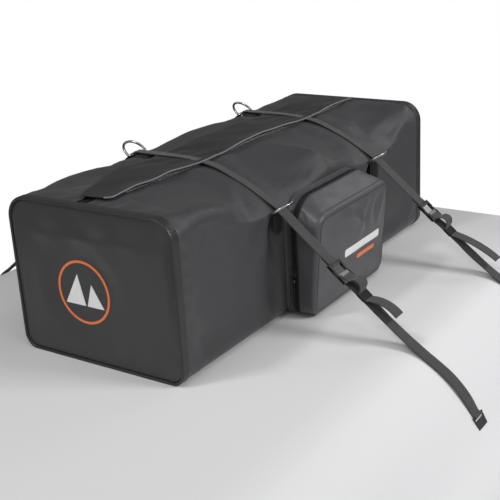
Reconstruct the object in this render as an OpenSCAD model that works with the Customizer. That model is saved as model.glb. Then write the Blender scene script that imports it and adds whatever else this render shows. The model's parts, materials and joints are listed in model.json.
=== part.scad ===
// Soft rooftop cargo carrier: a box duffel of coated fabric with a zipped front pocket,
// a storm flap over the main zipper and two lashing straps with ladder-lock buckles.
// Millimetres. X runs along the bag, -Y is the pocket side, +Z is up.
// The origin is the centre of the flat base.

/* [Bag] */
// Length of the bag, end to end
bag_length = 980; // [900:10:1060]
// Width of the wrap, front face to back face
bag_width = 383; // [370:1:400]
// Height of the crown of the wrap
bag_height = 306.5; // [298:0.5:320]
// Thickness of the coated fabric and its seams
fabric = 2; // [1.6:0.1:2.4]
// Radius of the two long base edges
base_radius = 28; // [20:1:36]
// Radius of the two top corners at the ends
end_radius = 43; // [36:1:50]
// Radius of the back top edge under the straps
back_radius = 56; // [52:1:60]
// How far the straps pull the front top edge below the crown
front_pull = 77.5; // [70:0.5:84]
// Width of the welded piping band at each end
piping_width = 10; // [8:1:14]

/* [Main zipper and flap] */
// Distance of the zipper line behind the middle of the bag
zipper_y = 25; // [20:1:30]
// Width of the slot in the wrap that the zipper closes
slot_width = 24; // [20:1:28]
// Length of the storm flap
flap_length = 898; // [800:1:900]
// Front edge of the flap
flap_front_y = -26; // [-30:1:-20]
// Hinge line where the flap is sewn to the wrap
flap_hinge_y = 89; // [80:1:95]
// Place of the closed main slider along the bag
slider_x = -392; // [-400:1:-360]

/* [Straps] */
// Place of the strap nearer the badge end
strap_left_x = -162; // [-172:1:-162]
// Place of the other strap
strap_right_x = 240; // [230:1:250]
// Width of the webbing
webbing_width = 30; // [25:1:32]
// Width of the narrower webbing over the top
run_width = 20; // [16:1:25]
// Thickness of the webbing
webbing = 1.8; // [1.4:0.1:2]
// Slope of the front legs
front_slope = 40; // [38:0.5:42]
// Slope of the back legs
back_slope = 37.5; // [37:0.5:39]
// Distance from ring to buckle on a front leg
front_buckle = 168; // [150:1:200]
// Distance from ring to buckle on a back leg
back_buckle = 300; // [250:1:340]

/* [Rings and buckles] */
// Inside width of a D-ring
ring_width = 50; // [46:1:54]
// Inside height of a D-ring
ring_height = 28; // [26:0.5:34]
// Wire diameter of a D-ring
ring_wire = 4.5; // [4:0.1:5]
// How steeply the front rings stand out from the bag
front_ring_rise = 33; // [28:1:50]
// How far the back rings lean away from the flap
back_ring_lean = 50; // [40:1:55]
// Length of a ladder-lock buckle
buckle_length = 48; // [44:1:52]
// Width of a ladder-lock buckle
buckle_width = 42; // [40:1:42]

/* [Pocket] */
// Left side of the pocket
pocket_left = -140; // [-140:1:-130]
// Right side of the pocket
pocket_right = 159; // [140:1:159]
// Top of the pocket where it meets the bag
pocket_top = 242; // [230:1:245]
// Top of the pocket's front face
pocket_front_top = 217; // [205:1:220]
// Underside of the pocket
pocket_base = 6; // [4:1:12]
// Depth of the pocket along its base
pocket_depth_base = 58; // [50:1:64]
// Depth of the pocket along its top
pocket_depth_top = 78; // [70:1:84]
// Depth of the fixed rim behind the pocket zipper
pocket_rim_depth = 20; // [16:1:22]
// Height of the pocket slider
pocket_slider_z = 95; // [90:1:110]

/* [Badge] */
// Radius of the round badge on the end panel
badge_radius = 62; // [50:1:70]
// Height of the badge's centre
badge_z = 141; // [120:1:160]
// Distance of the badge's centre behind the middle of the end
badge_y = 25; // [0:1:40]

/* [Hidden] */

$fn = 48;
gap = 0.1;              // room between neighbouring fabric pieces
half_length = bag_length / 2;
half_width = bag_width / 2;
top = bag_height;
crown_y = 20;           // where the pulled front shoulder meets the flat crown
strap_zone = 40;        // half width of the wrap that a strap pulls down fully
pull_reach = 220;       // distance over which that pull fades out
shoulder_run = half_width + crown_y;
shoulder_radius = (shoulder_run * shoulder_run + front_pull * front_pull) / (2 * front_pull);
shoulder_centre = [crown_y, top - shoulder_radius];
shoulder_steps = 10;
corner_steps = 5;

ring_r = ring_wire / 2;
tab_bore = ring_r + 0.1;
tab_wall = 0.95;
tab_r = tab_bore + tab_wall;
tab_width = 24;
ring_base = tab_r + 0.1;               // ring bar above the fabric
webbing_lift = tab_r + 0.2 + webbing / 2;  // middle of the webbing above the ring bar
// Ring bars and webbing bends as [y, z]
front_bar_angle = asin(shoulder_run / shoulder_radius) + 0.3;
front_bar = [
    crown_y - (shoulder_radius + ring_base + 0.1) * sin(front_bar_angle),
    shoulder_centre[1] + (shoulder_radius + ring_base + 0.1) * cos(front_bar_angle)
];
back_bar = [148, top + ring_base];
front_bend = front_bar + webbing_lift * [-sin(front_slope), cos(front_slope)];
back_bend = back_bar + [0, webbing_lift];
run_gap = 1.2;          // between the run's front end and the front bend
leg_gap = 5.5;          // between the back bend and the back leg

flap_z = top + 4.3;     // underside of the flap
flap_thick = 1.4;
flap_x0 = -447;
flap_x1 = flap_x0 + flap_length;
flap_tip = 16;          // radius of its front corner at the badge end
flap_taper = 150;       // stretch over which it widens back to the hinge
flap_slant = 45;        // how much it widens by
binding_r = 1.8;

zip_tape = 1.2;
zip_tape_z = top - fabric - 0.6 - zip_tape;
tape_span = half_length - piping_width - 2;
zip_gap = 1.6;          // between the two rows of teeth
teeth_width = 2.8;
teeth_height = 2.2;
slider_plate = [20, 11, 1.3];
slider_over = zip_tape_z + zip_tape + teeth_height + 0.5;  // underside of the slider's top plate
main_pull_z = slider_over + slider_plate[2] + 0.85;
stop_x = 30 - slider_x;  // end stops, past the slider's travel

pocket_back_y = -half_width - gap;
zip_line_y = -half_width - pocket_rim_depth;
pocket_hinge = [-half_width - pocket_depth_base, pocket_base + 2];
pocket_seam = 7;        // width of each pocket zipper tape
pocket_coil = 0.8;      // how far its teeth stand off the tape
pocket_plate = [1.3, 12, 18];
pocket_plate_x = pocket_left - pocket_coil - 0.5 - pocket_plate[0];
pocket_pull_x = pocket_plate_x - 1.5;

function mix(a, b, t) = a + (b - a) * t;
function smooth(t) = let (c = max(0, min(1, t))) c * c * (3 - 2 * c);
function arc(c, r, a0, a1, n) =
    [for (i = [0 : n]) c + r * [cos(mix(a0, a1, i / n)), sin(mix(a0, a1, i / n))]];
function reversed(p) = [for (i = [len(p) - 1 : -1 : 0]) p[i]];

// ---- outlines of the bag, as [y, z] ----

// The top and front of the wrap under a strap: one long arc from the slot to the front edge
function pulled_shoulder(inset) =
    let (r = shoulder_radius - inset,
         a0 = asin((crown_y - zipper_y + slot_width / 2) / r),
         a1 = asin((shoulder_run - inset) / r))
    arc(shoulder_centre, r, 90 + a0, 90 + a1, shoulder_steps);

// The same stretch at the ends of the bag: a flat top and a small corner
function square_shoulder(inset) =
    let (y0 = zipper_y - slot_width / 2, y1 = -half_width + end_radius, n = shoulder_steps / 2)
    concat([for (i = [0 : n - 1]) [mix(y0, y1, i / n), top - inset]],
           arc([y1, top - end_radius], end_radius - inset, 90, 180, n));

function shoulder(inset, pull) =
    let (a = square_shoulder(inset), b = pulled_shoulder(inset))
    [for (i = [0 : shoulder_steps]) mix(a[i], b[i], pull)];

// One face of the wrap from the front edge of the slot, round the bag, to its back edge
function wrap_line(inset, pull) =
    let (b = base_radius, c = mix(end_radius, back_radius, pull))
    concat(shoulder(inset, pull),
           arc([-half_width + b, b], b - inset, 180, 270, corner_steps),
           arc([half_width - b, b], b - inset, 270, 360, corner_steps),
           arc([half_width - c, top - c], c - inset, 0, 90, corner_steps),
           [[zipper_y + slot_width / 2, top - inset]]);

function two_triangles(a, b, c, d) = [[a, b, c], [a, c, d]];

function wrap_section(pull) = concat(wrap_line(0, pull), reversed(wrap_line(fabric, pull)));

// 1 under a strap, falling to 0 away from it
function pull_near(x, strap_x) = 1 - smooth((abs(x - strap_x) - strap_zone) / pull_reach);
function pull_at(x) = max(pull_near(x, strap_left_x), pull_near(x, strap_right_x));

// The closed outline of an end, grown or shrunk by edge
function end_outline(edge) =
    let (w = half_width + edge, t = top + edge, r = end_radius + edge,
         b = base_radius + edge, z0 = max(0, -edge))
    concat(arc([w - r, t - r], r, 0, 90, 8),
           arc([r - w, t - r], r, 90, 180, 8),
           arc([b - w, z0 + b], b, 180, 270, 6),
           arc([w - b, z0 + b], b, 270, 360, 6));

// ---- webbing ----

function unit(v) = v / norm(v);
function left_of(v) = [-v[1], v[0]];
function normal_at(p, i) =
    let (n = len(p),
         a = left_of(unit(p[min(i + 1, n - 1)] - p[min(i, n - 2)])),
         b = left_of(unit(p[max(i, 1)] - p[max(i - 1, 0)])),
         m = unit(a + b))
    m / (m * a);
function ribbon(p, t) =
    concat([for (i = [0 : len(p) - 1]) p[i] + normal_at(p, i) * t / 2],
           [for (i = [len(p) - 1 : -1 : 0]) p[i] - normal_at(p, i) * t / 2]);

// A walk from start: each leg of the walk is [distance, heading]
function walk(start, steps, i = 0) =
    i >= len(steps) ? [start] :
    concat([start],
           walk(start + steps[i][0] * [cos(steps[i][1]), sin(steps[i][1])], steps, i + 1));

// Extrude a [y, z] outline along X
module along_x(x0, x1) {
    translate([x0, 0, 0]) rotate([90, 0, 90]) linear_extrude(x1 - x0) children();
}

module web(x, path, width = webbing_width) {
    along_x(x - width / 2, x + width / 2) polygon(ribbon(path, webbing));
}

// A rod or sleeve along X about [y, z]
module rod_x(x, at, r, length) {
    translate([x - length / 2, at[0], at[1]]) rotate([0, 90, 0]) cylinder(r = r, h = length);
}

// ---- bag ----

module body_wrap() {
    side = strap_zone;
    left_end = -half_length + piping_width + gap;
    stations = concat(
        [for (i = [0 : 5]) mix(left_end, strap_left_x - side, i / 5)],
        [for (i = [0 : 5]) mix(strap_left_x + side, strap_right_x - side, i / 5)],
        [for (i = [0 : 5]) mix(strap_right_x + side, -left_end, i / 5)]);
    half = len(wrap_line(0, 0));
    count = 2 * half;
    points = [for (x = stations) for (p = wrap_section(pull_at(x))) [x, p[0], p[1]]];
    last = (len(stations) - 1) * count;
    faces = concat(
        [for (i = [0 : half - 2]) each two_triangles(i, i + 1, count - 2 - i, count - 1 - i)],
        [for (i = [0 : half - 2])
            each two_triangles(last + count - 1 - i, last + count - 2 - i, last + i + 1, last + i)],
        [for (s = [0 : len(stations) - 2]) for (i = [0 : count - 1])
            let (a = s * count + i, b = s * count + (i + 1) % count)
            each two_triangles(a, a + count, b + count, b)]);
    color("#3a3a3c") polyhedron(points, faces, convexity = 6);
}

module end_panel(side) {
    x = side * (half_length - 5);
    color("#3c3c3e") along_x(x - fabric / 2, x + fabric / 2) polygon(end_outline(-3 - gap));
}

module end_piping(side) {
    x = side * (half_length - piping_width / 2);
    color("#262627") difference() {
        along_x(x - piping_width / 2, x + piping_width / 2) polygon(end_outline(1));
        along_x(x - piping_width, x + piping_width) polygon(end_outline(-3));
    }
}

module badge_ring() {
    x = -half_length + 4 - gap - 0.8;
    color("#f07a3c") difference() {
        rod_x(x + 0.4, [badge_y, badge_z], badge_radius, 0.8);
        rod_x(x + 0.4, [badge_y, badge_z], badge_radius - 5, 2);
    }
}

module badge_peaks() {
    x = -half_length + 4 - gap - 0.8;
    foot = badge_z - 26;
    color("#f2f2f2") along_x(x, x + 0.8) {
        polygon([[badge_y - 46, foot], [badge_y - 6, foot], [badge_y - 20, badge_z + 18]]);
        polygon([[badge_y - 2, foot], [badge_y + 46, foot], [badge_y + 12, badge_z + 34]]);
    }
}

// ---- main zipper and flap ----

module zipper_tape(side) {
    y0 = zipper_y + side * zip_gap / 2;
    y1 = zipper_y + side * (slot_width / 2 + 9);
    color("#1c1c1d") translate([-tape_span, min(y0, y1), zip_tape_z])
        cube([2 * tape_span, abs(y1 - y0), zip_tape]);
}

module zipper_teeth() {
    z = zip_tape_z + zip_tape + gap / 2;
    color("#151516") for (side = [-1, 1])
        translate([-tape_span, zipper_y + side * (zip_gap + teeth_width) / 2 - teeth_width / 2, z])
            cube([2 * tape_span, teeth_width, teeth_height]);
}

module zipper_end_stops() {
    stop = [5, 6, 2.4];
    color("#9a9a9c") for (end = [-1, 1]) for (side = [-1, 1])
        translate([end * stop_x - stop[0] / 2,
                   zipper_y + side * 8 - stop[1] / 2, zip_tape_z + zip_tape + gap])
            cube(stop);
}

module flap_seam_strip() {
    color("#2f2f31") translate([flap_x0 + flap_taper, flap_hinge_y + 2, top + gap])
        cube([flap_length - flap_taper, 12, 1.3]);
}

module flap_loop_strip() {
    color("#202021") translate([flap_x0 + 50, flap_front_y + 4, top + gap])
        cube([flap_length - 60, 18, 1.2]);
}

module flap_hook_strip() {
    color("#202021") translate([flap_x0 + 50, flap_front_y + 4, flap_z - gap - 1])
        cube([flap_length - 60, 18, 1]);
}

// A rounded corner and a slanting back edge at the badge end, then straight edges
module top_flap() {
    front = flap_front_y + gap + binding_r;
    back = flap_hinge_y - 2;
    color("#333335") translate([0, 0, flap_z]) linear_extrude(flap_thick) {
        polygon(concat(
            arc([flap_x0 + flap_tip, front + flap_tip], flap_tip, 180, 270, 8),
            [[flap_x1, front], [flap_x1, back],
             [flap_x0 + flap_taper, back], [flap_x0, back - flap_slant]]));
    }
}

module flap_binding() {
    z = flap_z + flap_thick / 2;
    length = flap_length - flap_tip;
    color("#4a4a4c") rod_x(flap_x1 - length / 2, [flap_front_y, z], binding_r, length);
}

module main_slider() {
    plate = slider_plate;
    over = slider_over;
    under = zip_tape_z - gap - 0.2 - plate[2];
    color("#2a2a2b") translate([slider_x, zipper_y, 0]) {
        translate([-plate[0] / 2, -plate[1] / 2, under]) cube(plate);
        translate([-plate[0] / 2, -plate[1] / 2, over]) cube(plate);
        translate([5.5, -0.6, under + 0.4]) cube([3, 1.2, over - under]);
        // The bridge that carries the pull, with a cross hole
        difference() {
            translate([-6, -2.5, over + 0.7]) cube([11, 5, 2.6]);
            translate([0, 0, main_pull_z]) rotate([90, 0, 0])
                cylinder(r = 0.7, h = 20, center = true);
        }
    }
}

// A wire loop through the bridge and a flat tongue, lying along the zipper
module main_pull() {
    color("#2a2a2b") translate([slider_x, zipper_y, main_pull_z]) {
        rotate([90, 0, 0]) cylinder(r = 0.6, h = 9, center = true);
        for (side = [-1, 1]) translate([-0.5, side * 4 - 0.6, -0.5]) cube([12, 1.2, 1]);
        translate([10, -4.6, -0.5]) cube([26, 9.2, 1]);
    }
}

// ---- rings and their tabs ----

// A D-ring whose straight bar lies on X and whose bow points along +Z
module d_ring() {
    half = ring_width / 2 + ring_r;
    rise = ring_height + ring_wire - half;
    color("#b9bbbe") {
        rod_x(0, [0, 0], ring_r, 2 * half);
        for (side = [-1, 1]) translate([side * half, 0, 0]) {
            cylinder(r = ring_r, h = rise);
            sphere(r = ring_r);
        }
        translate([0, 0, rise]) rotate([90, 0, 0])
            rotate_extrude(angle = 180) translate([half, 0]) circle(r = ring_r);
    }
}

module front_ring(x) {
    translate([x, front_bar[0], front_bar[1]])
        rotate([90 - front_ring_rise, 0, 0]) d_ring();
}

module back_ring(x) {
    translate([x, back_bar[0], back_bar[1]]) rotate([-back_ring_lean, 0, 0]) d_ring();
}

module front_ring_tabs() {
    patch = [32, 1, 44];
    color("#1d1d1e") for (x = [strap_left_x, strap_right_x]) difference() {
        union() {
            rod_x(x, front_bar, tab_r, tab_width);
            translate([x - patch[0] / 2, -half_width - gap - patch[1], front_bar[1] - 4 - patch[2]])
                cube(patch);
            translate([x - tab_width / 2, -half_width - gap - patch[1], front_bar[1] - 6])
                cube([tab_width, patch[1], 5]);
        }
        rod_x(x, front_bar, tab_bore, tab_width + 2);
    }
}

module back_ring_tabs() {
    patch = [36, 34, 1];
    color("#1d1d1e") for (x = [strap_left_x, strap_right_x]) difference() {
        union() {
            rod_x(x, back_bar, tab_r, tab_width);
            translate([x - tab_width / 2, back_bar[0] - 6, top + gap]) cube([tab_width, 5, 1]);
            translate([x - patch[0] / 2, back_bar[0] - 5 - patch[1], top + gap]) cube(patch);
        }
        rod_x(x, back_bar, tab_bore, tab_width + 2);
    }
}

// ---- strap runs over the top ----

// From the back bend, over the flap binding, down the front shoulder to the front ring
function run_path() =
    let (r = shoulder_radius + webbing / 2 + 0.7,
         lip = [flap_front_y - 5, back_bend[1]],
         rel = lip - shoulder_centre,
         touch = atan2(-rel[0], rel[1]) + acos(r / norm(rel)),
         along = [cos(front_slope), sin(front_slope)])
    concat([back_bend, lip],
           [for (a = [touch : 3 : touch + 7])
               shoulder_centre + r * [-sin(a), cos(a)]],
           [front_bend + run_gap * along]);

module strap_run(x) {
    color("#474749") web(x, run_path(), run_width);
}

// ---- legs: drawn with Y along the leg, Z off it and X across it ----

// Shape of each leg: [slope, straight length, run on the roof, roof slope, slope at the gap]
front_leg = [front_slope, 330, 100, 33, 62];
back_leg = [back_slope, 532, 30, 34, 62];
// Free tail of each lower webbing: [length, angle off the leg at its root, angle at its end]
front_left_tail = [66, 42, 4];
front_right_tail = [108, 24, 10];
back_tail = [80, 38, 8];
edge_radius = 192;      // bend of the webbing over the edge of the roof
edge_steps = 6;

module on_leg(front, x) {
    bend = front ? [-front_bend[0], front_bend[1]] : back_bend;
    slope = front ? front_slope : back_slope;
    mirror([0, front ? 1 : 0, 0]) translate([x, bend[0], bend[1]]) rotate([-slope, 0, 0])
        children();
}

function edge_walk(leg) =
    let (turn = leg[4] - leg[3], step = edge_radius * turn * PI / 180 / edge_steps)
    concat([[leg[2], leg[0] - leg[3]]],
           [for (i = [1 : edge_steps]) [step, leg[0] - leg[3] - turn * (i - 0.5) / edge_steps]]);

function lower_path(leg, b) =
    concat([[b + mid_bar, -mid_sleeve], [b + 28, -mid_sleeve], [b + 50, 0]],
           walk([leg[1], 0], edge_walk(leg)));
function last(p) = p[len(p) - 1];
function clip_pin(leg) =
    let (p = lower_path(leg, 0), d = unit(last(p) - p[len(p) - 2]))
    last(p) + d * (clip_loop_r - 0.4);

// Buckle bars, counted along the leg from the buckle's middle
top_bar = -18;
mid_bar = 4;
lip_bar = 20;
bar_r = 2;
loop_bore = bar_r + 0.15;
loop_r = loop_bore + webbing;
mid_sleeve = loop_bore + webbing / 2;
keeper_at = 62;
clip_pin_r = 2;
clip_loop_r = clip_pin_r + 0.15 + webbing;

module upper_webbing(front, x, b) {
    first = front ? 0 : leg_gap;
    color("#474749") on_leg(front, x) {
        difference() {
            union() {
                translate([-webbing_width / 2, first, -webbing / 2])
                    cube([webbing_width, b + top_bar - first, webbing]);
                rod_x(0, [b + top_bar, 0], loop_r, webbing_width);
            }
            rod_x(0, [b + top_bar, 0], loop_bore, webbing_width + 2);
        }
    }
}

module buckle(front, x, b) {
    rail = (buckle_width - webbing_width - 2.4) / 2;
    height = 8;
    lip = [webbing_width + 3, 7, 4.2];
    color("#202122") on_leg(front, x) translate([0, b, 0]) {
        for (side = [-1, 1]) translate([side * (buckle_width - rail) / 2, 0, 0]) {
            translate([-rail / 2, height / 2 - buckle_length / 2, -height / 2])
                cube([rail, buckle_length - height, height]);
            for (end = [-1, 1])
                rod_x(0, [end * (buckle_length - height) / 2, 0], height / 2, rail);
        }
        rod_x(0, [top_bar, 0], bar_r, buckle_width - rail);
        rod_x(0, [mid_bar, 0], bar_r, buckle_width - rail);
        translate([-lip[0] / 2, lip_bar - lip[1] / 2, -1.6]) cube(lip);
    }
}

// Round the middle bar: the load side goes on to the door, the free side is the tail
module lower_webbing(front, x, b, leg, tail) {
    free = concat(
        [[b + mid_bar, mid_sleeve], [b + 18, 4.4], [b + 26, 5.6]],
        arc([b + 39, 7], 12, 160, 20, 6),
        [[b + 53, 2.6]],
        walk([b + 72, 2.3], [for (i = [0 : 4]) [tail[0] / 5, mix(tail[1], tail[2], i / 4)]]));
    color("#474749") on_leg(front, x) difference() {
        union() {
            web(0, lower_path(leg, b));
            web(0, free);
            rod_x(0, [b + mid_bar, 0], loop_r, webbing_width);
            rod_x(0, clip_pin(leg), clip_loop_r, webbing_width);
        }
        rod_x(0, [b + mid_bar, 0], loop_bore, webbing_width + 2);
        rod_x(0, clip_pin(leg), clip_pin_r + 0.15, webbing_width + 2);
    }
}

module lower_front(x, tail) {
    lower_webbing(true, x, front_buckle, front_leg, tail);
}

module lower_back(x) {
    lower_webbing(false, x, back_buckle, back_leg, back_tail);
}

module keeper(front, x, b) {
    inner = [webbing_width + 0.6, 20, 5.4];
    outer = inner + [3, -4, 3];
    color("#161617") on_leg(front, x) translate([0, b + keeper_at, 1.2]) difference() {
        cube(outer, center = true);
        cube(inner, center = true);
    }
}

// Coated steel clip: a pin in the webbing loop, a flat plate and a hook for the door frame
module door_clip(front, x, leg) {
    plate = [38, 2, 24];
    hook_r = 7;
    heading = leg[0] - leg[4];
    color("#2b2c2e") on_leg(front, x) translate([0, clip_pin(leg)[0], clip_pin(leg)[1]])
        rotate([heading, 0, 0]) {
            rod_x(0, [0, 0], clip_pin_r, plate[0]);
            for (side = [-1, 1]) translate([side * (plate[0] / 2 - 1.5) - 1.5, 0, -1])
                cube([3, 9, 2]);
            translate([-plate[0] / 2, 7.5, -1]) cube([plate[0], plate[2], 2]);
            translate([0, 7.5 + plate[2], -hook_r]) rotate([0, 90, 0])
                linear_extrude(plate[0], center = true) intersection() {
                    difference() {
                        circle(r = hook_r + 1);
                        circle(r = hook_r - 1);
                    }
                    translate([-2 * hook_r, 0]) square([4 * hook_r, 2 * hook_r]);
                }
            translate([-plate[0] / 2, 7.5 + plate[2] - 9, -2 * hook_r - 1])
                cube([plate[0], 9, 2]);
        }
}

// ---- pocket ----

// Outline of the pocket as [x, z], shrunk by edge; depth runs 0 at the bag to 1 at the front
function pocket_outline(depth, edge) =
    let (t = mix(pocket_top, pocket_front_top, depth) - edge,
         r = mix(62, 30, depth) - edge, b = mix(20, 26, depth) - edge,
         x0 = pocket_left + edge, x1 = pocket_right - edge, z0 = pocket_base + edge)
    concat(arc([x1 - r, t - r], r, 0, 90, 8),
           arc([x0 + r, t - r], r, 90, 180, 8),
           arc([x0 + b, z0 + b], b, 180, 270, 4),
           arc([x1 - b, z0 + b], b, 270, 360, 4));

// Extrude an [x, z] outline from y0 out to y1, y1 being further from the bag
module outwards(y0, y1) {
    translate([0, y0, 0]) rotate([90, 0, 0]) linear_extrude(y0 - y1) children();
}

module pocket_band(y0, y1, wall) {
    difference() {
        outwards(y0, y1) polygon(pocket_outline(0, 0));
        outwards(y0 + 1, y1 - 1) polygon(pocket_outline(0, wall));
    }
}

// Keeps the part of a band above the base gusset
module above_base() {
    intersection() {
        children();
        translate([pocket_left - 10, -half_width - 100, pocket_base + 27])
            cube([pocket_right - pocket_left + 20, 120, 300]);
    }
}

// The fixed rim behind the zipper, with the base gusset that reaches out to the hinge
module pocket_rim() {
    out_y = pocket_hinge[0] + 4;
    color("#39393b") union() {
        pocket_band(pocket_back_y, zip_line_y + pocket_seam + gap, fabric);
        translate([pocket_left + 20, out_y, pocket_base])
            cube([pocket_right - pocket_left - 40, pocket_back_y - out_y, fabric]);
    }
}

module pocket_tape(y0, y1, teeth_y) {
    above_base() union() {
        pocket_band(y0, y1, fabric);
        difference() {
            outwards(teeth_y + 1.2, teeth_y - 1.2) polygon(pocket_outline(0, -pocket_coil));
            outwards(teeth_y + 2, teeth_y - 2) polygon(pocket_outline(0, fabric + pocket_coil));
        }
    }
}

module pocket_fixed_tape() {
    y1 = zip_line_y + zip_gap / 2;
    color("#141415") pocket_tape(zip_line_y + pocket_seam, y1, y1 + 1.2);
}

module pocket_cover_tape() {
    y0 = zip_line_y - zip_gap / 2;
    color("#141415") pocket_tape(y0, zip_line_y - pocket_seam, y0 - 1.2);
}

// A slab between the zipper line and the leaning front face
module pocket_block(edge, back_y) {
    front_low = [-half_width - pocket_depth_base + edge, pocket_base];
    front_high = [-half_width - pocket_depth_top + edge, pocket_front_top];
    hull() {
        outwards(back_y, back_y - 0.1) polygon(pocket_outline(0, edge));
        intersection() {
            rotate([90, 0, 0]) linear_extrude(400) polygon(pocket_outline(1, edge));
            along_x(pocket_left - 5, pocket_right + 5)
                polygon([front_low, front_high, front_high + [0.1, 0], front_low + [0.1, 0]]);
        }
    }
}

// Front face, sides and top of the pocket, open at the zipper and along the base
module pocket_cover() {
    back_y = zip_line_y - pocket_seam - gap;
    color("#4a4a4d") difference() {
        pocket_block(0, back_y);
        pocket_block(fabric, back_y + 1);
        translate([pocket_left - 5, pocket_hinge[0] + 2.4, pocket_base - 5])
            cube([pocket_right - pocket_left + 10, 100, 8]);
    }
}

// Piping round the edge of the front face
module pocket_piping() {
    rise = pocket_front_top - pocket_base;
    lean = atan2(pocket_depth_top - pocket_depth_base, rise);
    color("#2c2c2e")
        translate([0, pocket_hinge[0] - gap, 0]) rotate([lean, 0, 0]) difference() {
            outwards(0, -1.6) polygon([for (p = pocket_outline(1, 2)) [p[0], p[1] / cos(lean)]]);
            outwards(1, -3) polygon([for (p = pocket_outline(1, 5.5)) [p[0], p[1] / cos(lean)]]);
        }
}

module pocket_bar(x0, x1, z0, height) {
    rise = pocket_front_top - pocket_base;
    lean = atan2(pocket_depth_top - pocket_depth_base, rise);
    translate([0, pocket_hinge[0] - gap, 0]) rotate([lean, 0, 0])
        translate([x0, -0.6, z0]) cube([x1 - x0, 0.6, height]);
}

module pocket_white_bar() {
    color("#f4f4f4") pocket_bar(-30, 122, 98, 17);
}

module pocket_orange_bar() {
    color("#f07a3c") pocket_bar(24, 104, 78, 9);
}

module pocket_slider() {
    plate = pocket_plate;
    outer_x = pocket_plate_x;
    inner_x = pocket_left + fabric + pocket_coil + 0.5;
    color("#2a2a2b") translate([0, zip_line_y, pocket_slider_z]) {
        translate([outer_x, -plate[1] / 2, -plate[2] / 2]) cube(plate);
        translate([inner_x, -plate[1] / 2, -plate[2] / 2]) cube(plate);
        translate([outer_x, -0.6, 4]) cube([inner_x - outer_x + 1, 1.2, 4]);
        difference() {
            translate([outer_x - 3.2, -2, -5]) cube([3.7, 4, 10]);
            translate([outer_x - 1.5, 0, 0]) rotate([90, 0, 0])
                cylinder(r = 0.9, h = 20, center = true);
        }
    }
}

// A wire loop, a round bead and a hanging cord with a sealed end
module pocket_pull() {
    color("#1f1f20") translate([pocket_pull_x, zip_line_y, pocket_slider_z]) {
        rotate([90, 0, 0]) cylinder(r = 0.75, h = 8, center = true);
        for (side = [-1, 1]) translate([-1, side * 3.3 - 0.7, -13]) cube([1.4, 1.4, 13]);
        translate([-2.8, 0, -15]) {
            sphere(r = 4.2);
            translate([0, 0, -35]) cylinder(r = 1.6, h = 35);
            translate([0, 0, -39]) cylinder(r = 2.6, h = 8);
        }
    }
}

body_wrap();
end_panel(-1);  // end_panel_left
end_panel(1);  // end_panel_right
end_piping(-1);  // end_piping_left
end_piping(1);  // end_piping_right
zipper_tape(-1);  // zipper_tape_front
zipper_tape(1);  // zipper_tape_back
zipper_teeth();
zipper_end_stops();
flap_seam_strip();
flap_loop_strip();
front_ring_tabs();
back_ring_tabs();
badge_ring();
badge_peaks();
top_flap();
flap_binding();
flap_hook_strip();
main_slider();
main_pull();
pocket_rim();
pocket_fixed_tape();
pocket_cover();
pocket_cover_tape();
pocket_piping();
pocket_white_bar();
pocket_orange_bar();
pocket_slider();
pocket_pull();
strap_run(strap_left_x);  // strap_run_left
strap_run(strap_right_x);  // strap_run_right
front_ring(strap_left_x);  // front_ring_left
front_ring(strap_right_x);  // front_ring_right
back_ring(strap_left_x);  // back_ring_left
back_ring(strap_right_x);  // back_ring_right
upper_webbing(true, strap_left_x, front_buckle);  // upper_webbing_front_left
buckle(true, strap_left_x, front_buckle);  // buckle_front_left
lower_front(strap_left_x, front_left_tail);  // lower_webbing_front_left
keeper(true, strap_left_x, front_buckle);  // keeper_front_left
door_clip(true, strap_left_x, front_leg);  // door_clip_front_left
upper_webbing(true, strap_right_x, front_buckle);  // upper_webbing_front_right
buckle(true, strap_right_x, front_buckle);  // buckle_front_right
lower_front(strap_right_x, front_right_tail);  // lower_webbing_front_right
keeper(true, strap_right_x, front_buckle);  // keeper_front_right
door_clip(true, strap_right_x, front_leg);  // door_clip_front_right
upper_webbing(false, strap_left_x, back_buckle);  // upper_webbing_back_left
buckle(false, strap_left_x, back_buckle);  // buckle_back_left
lower_back(strap_left_x);  // lower_webbing_back_left
keeper(false, strap_left_x, back_buckle);  // keeper_back_left
door_clip(false, strap_left_x, back_leg);  // door_clip_back_left
upper_webbing(false, strap_right_x, back_buckle);  // upper_webbing_back_right
buckle(false, strap_right_x, back_buckle);  // buckle_back_right
lower_back(strap_right_x);  // lower_webbing_back_right
keeper(false, strap_right_x, back_buckle);  // keeper_back_right
door_clip(false, strap_right_x, back_leg);  // door_clip_back_right
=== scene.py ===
"""The looks of the soft rooftop cargo carrier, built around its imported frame.

Metres. X runs along the bag, -Y is the pocket side, +Z is up. Every place comes from the frame's
joints and node boxes; the shape of the cloth comes from the functions in each section.
"""
import json
import math

import bpy
import numpy as np
from mathutils import Matrix, Vector


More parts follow.
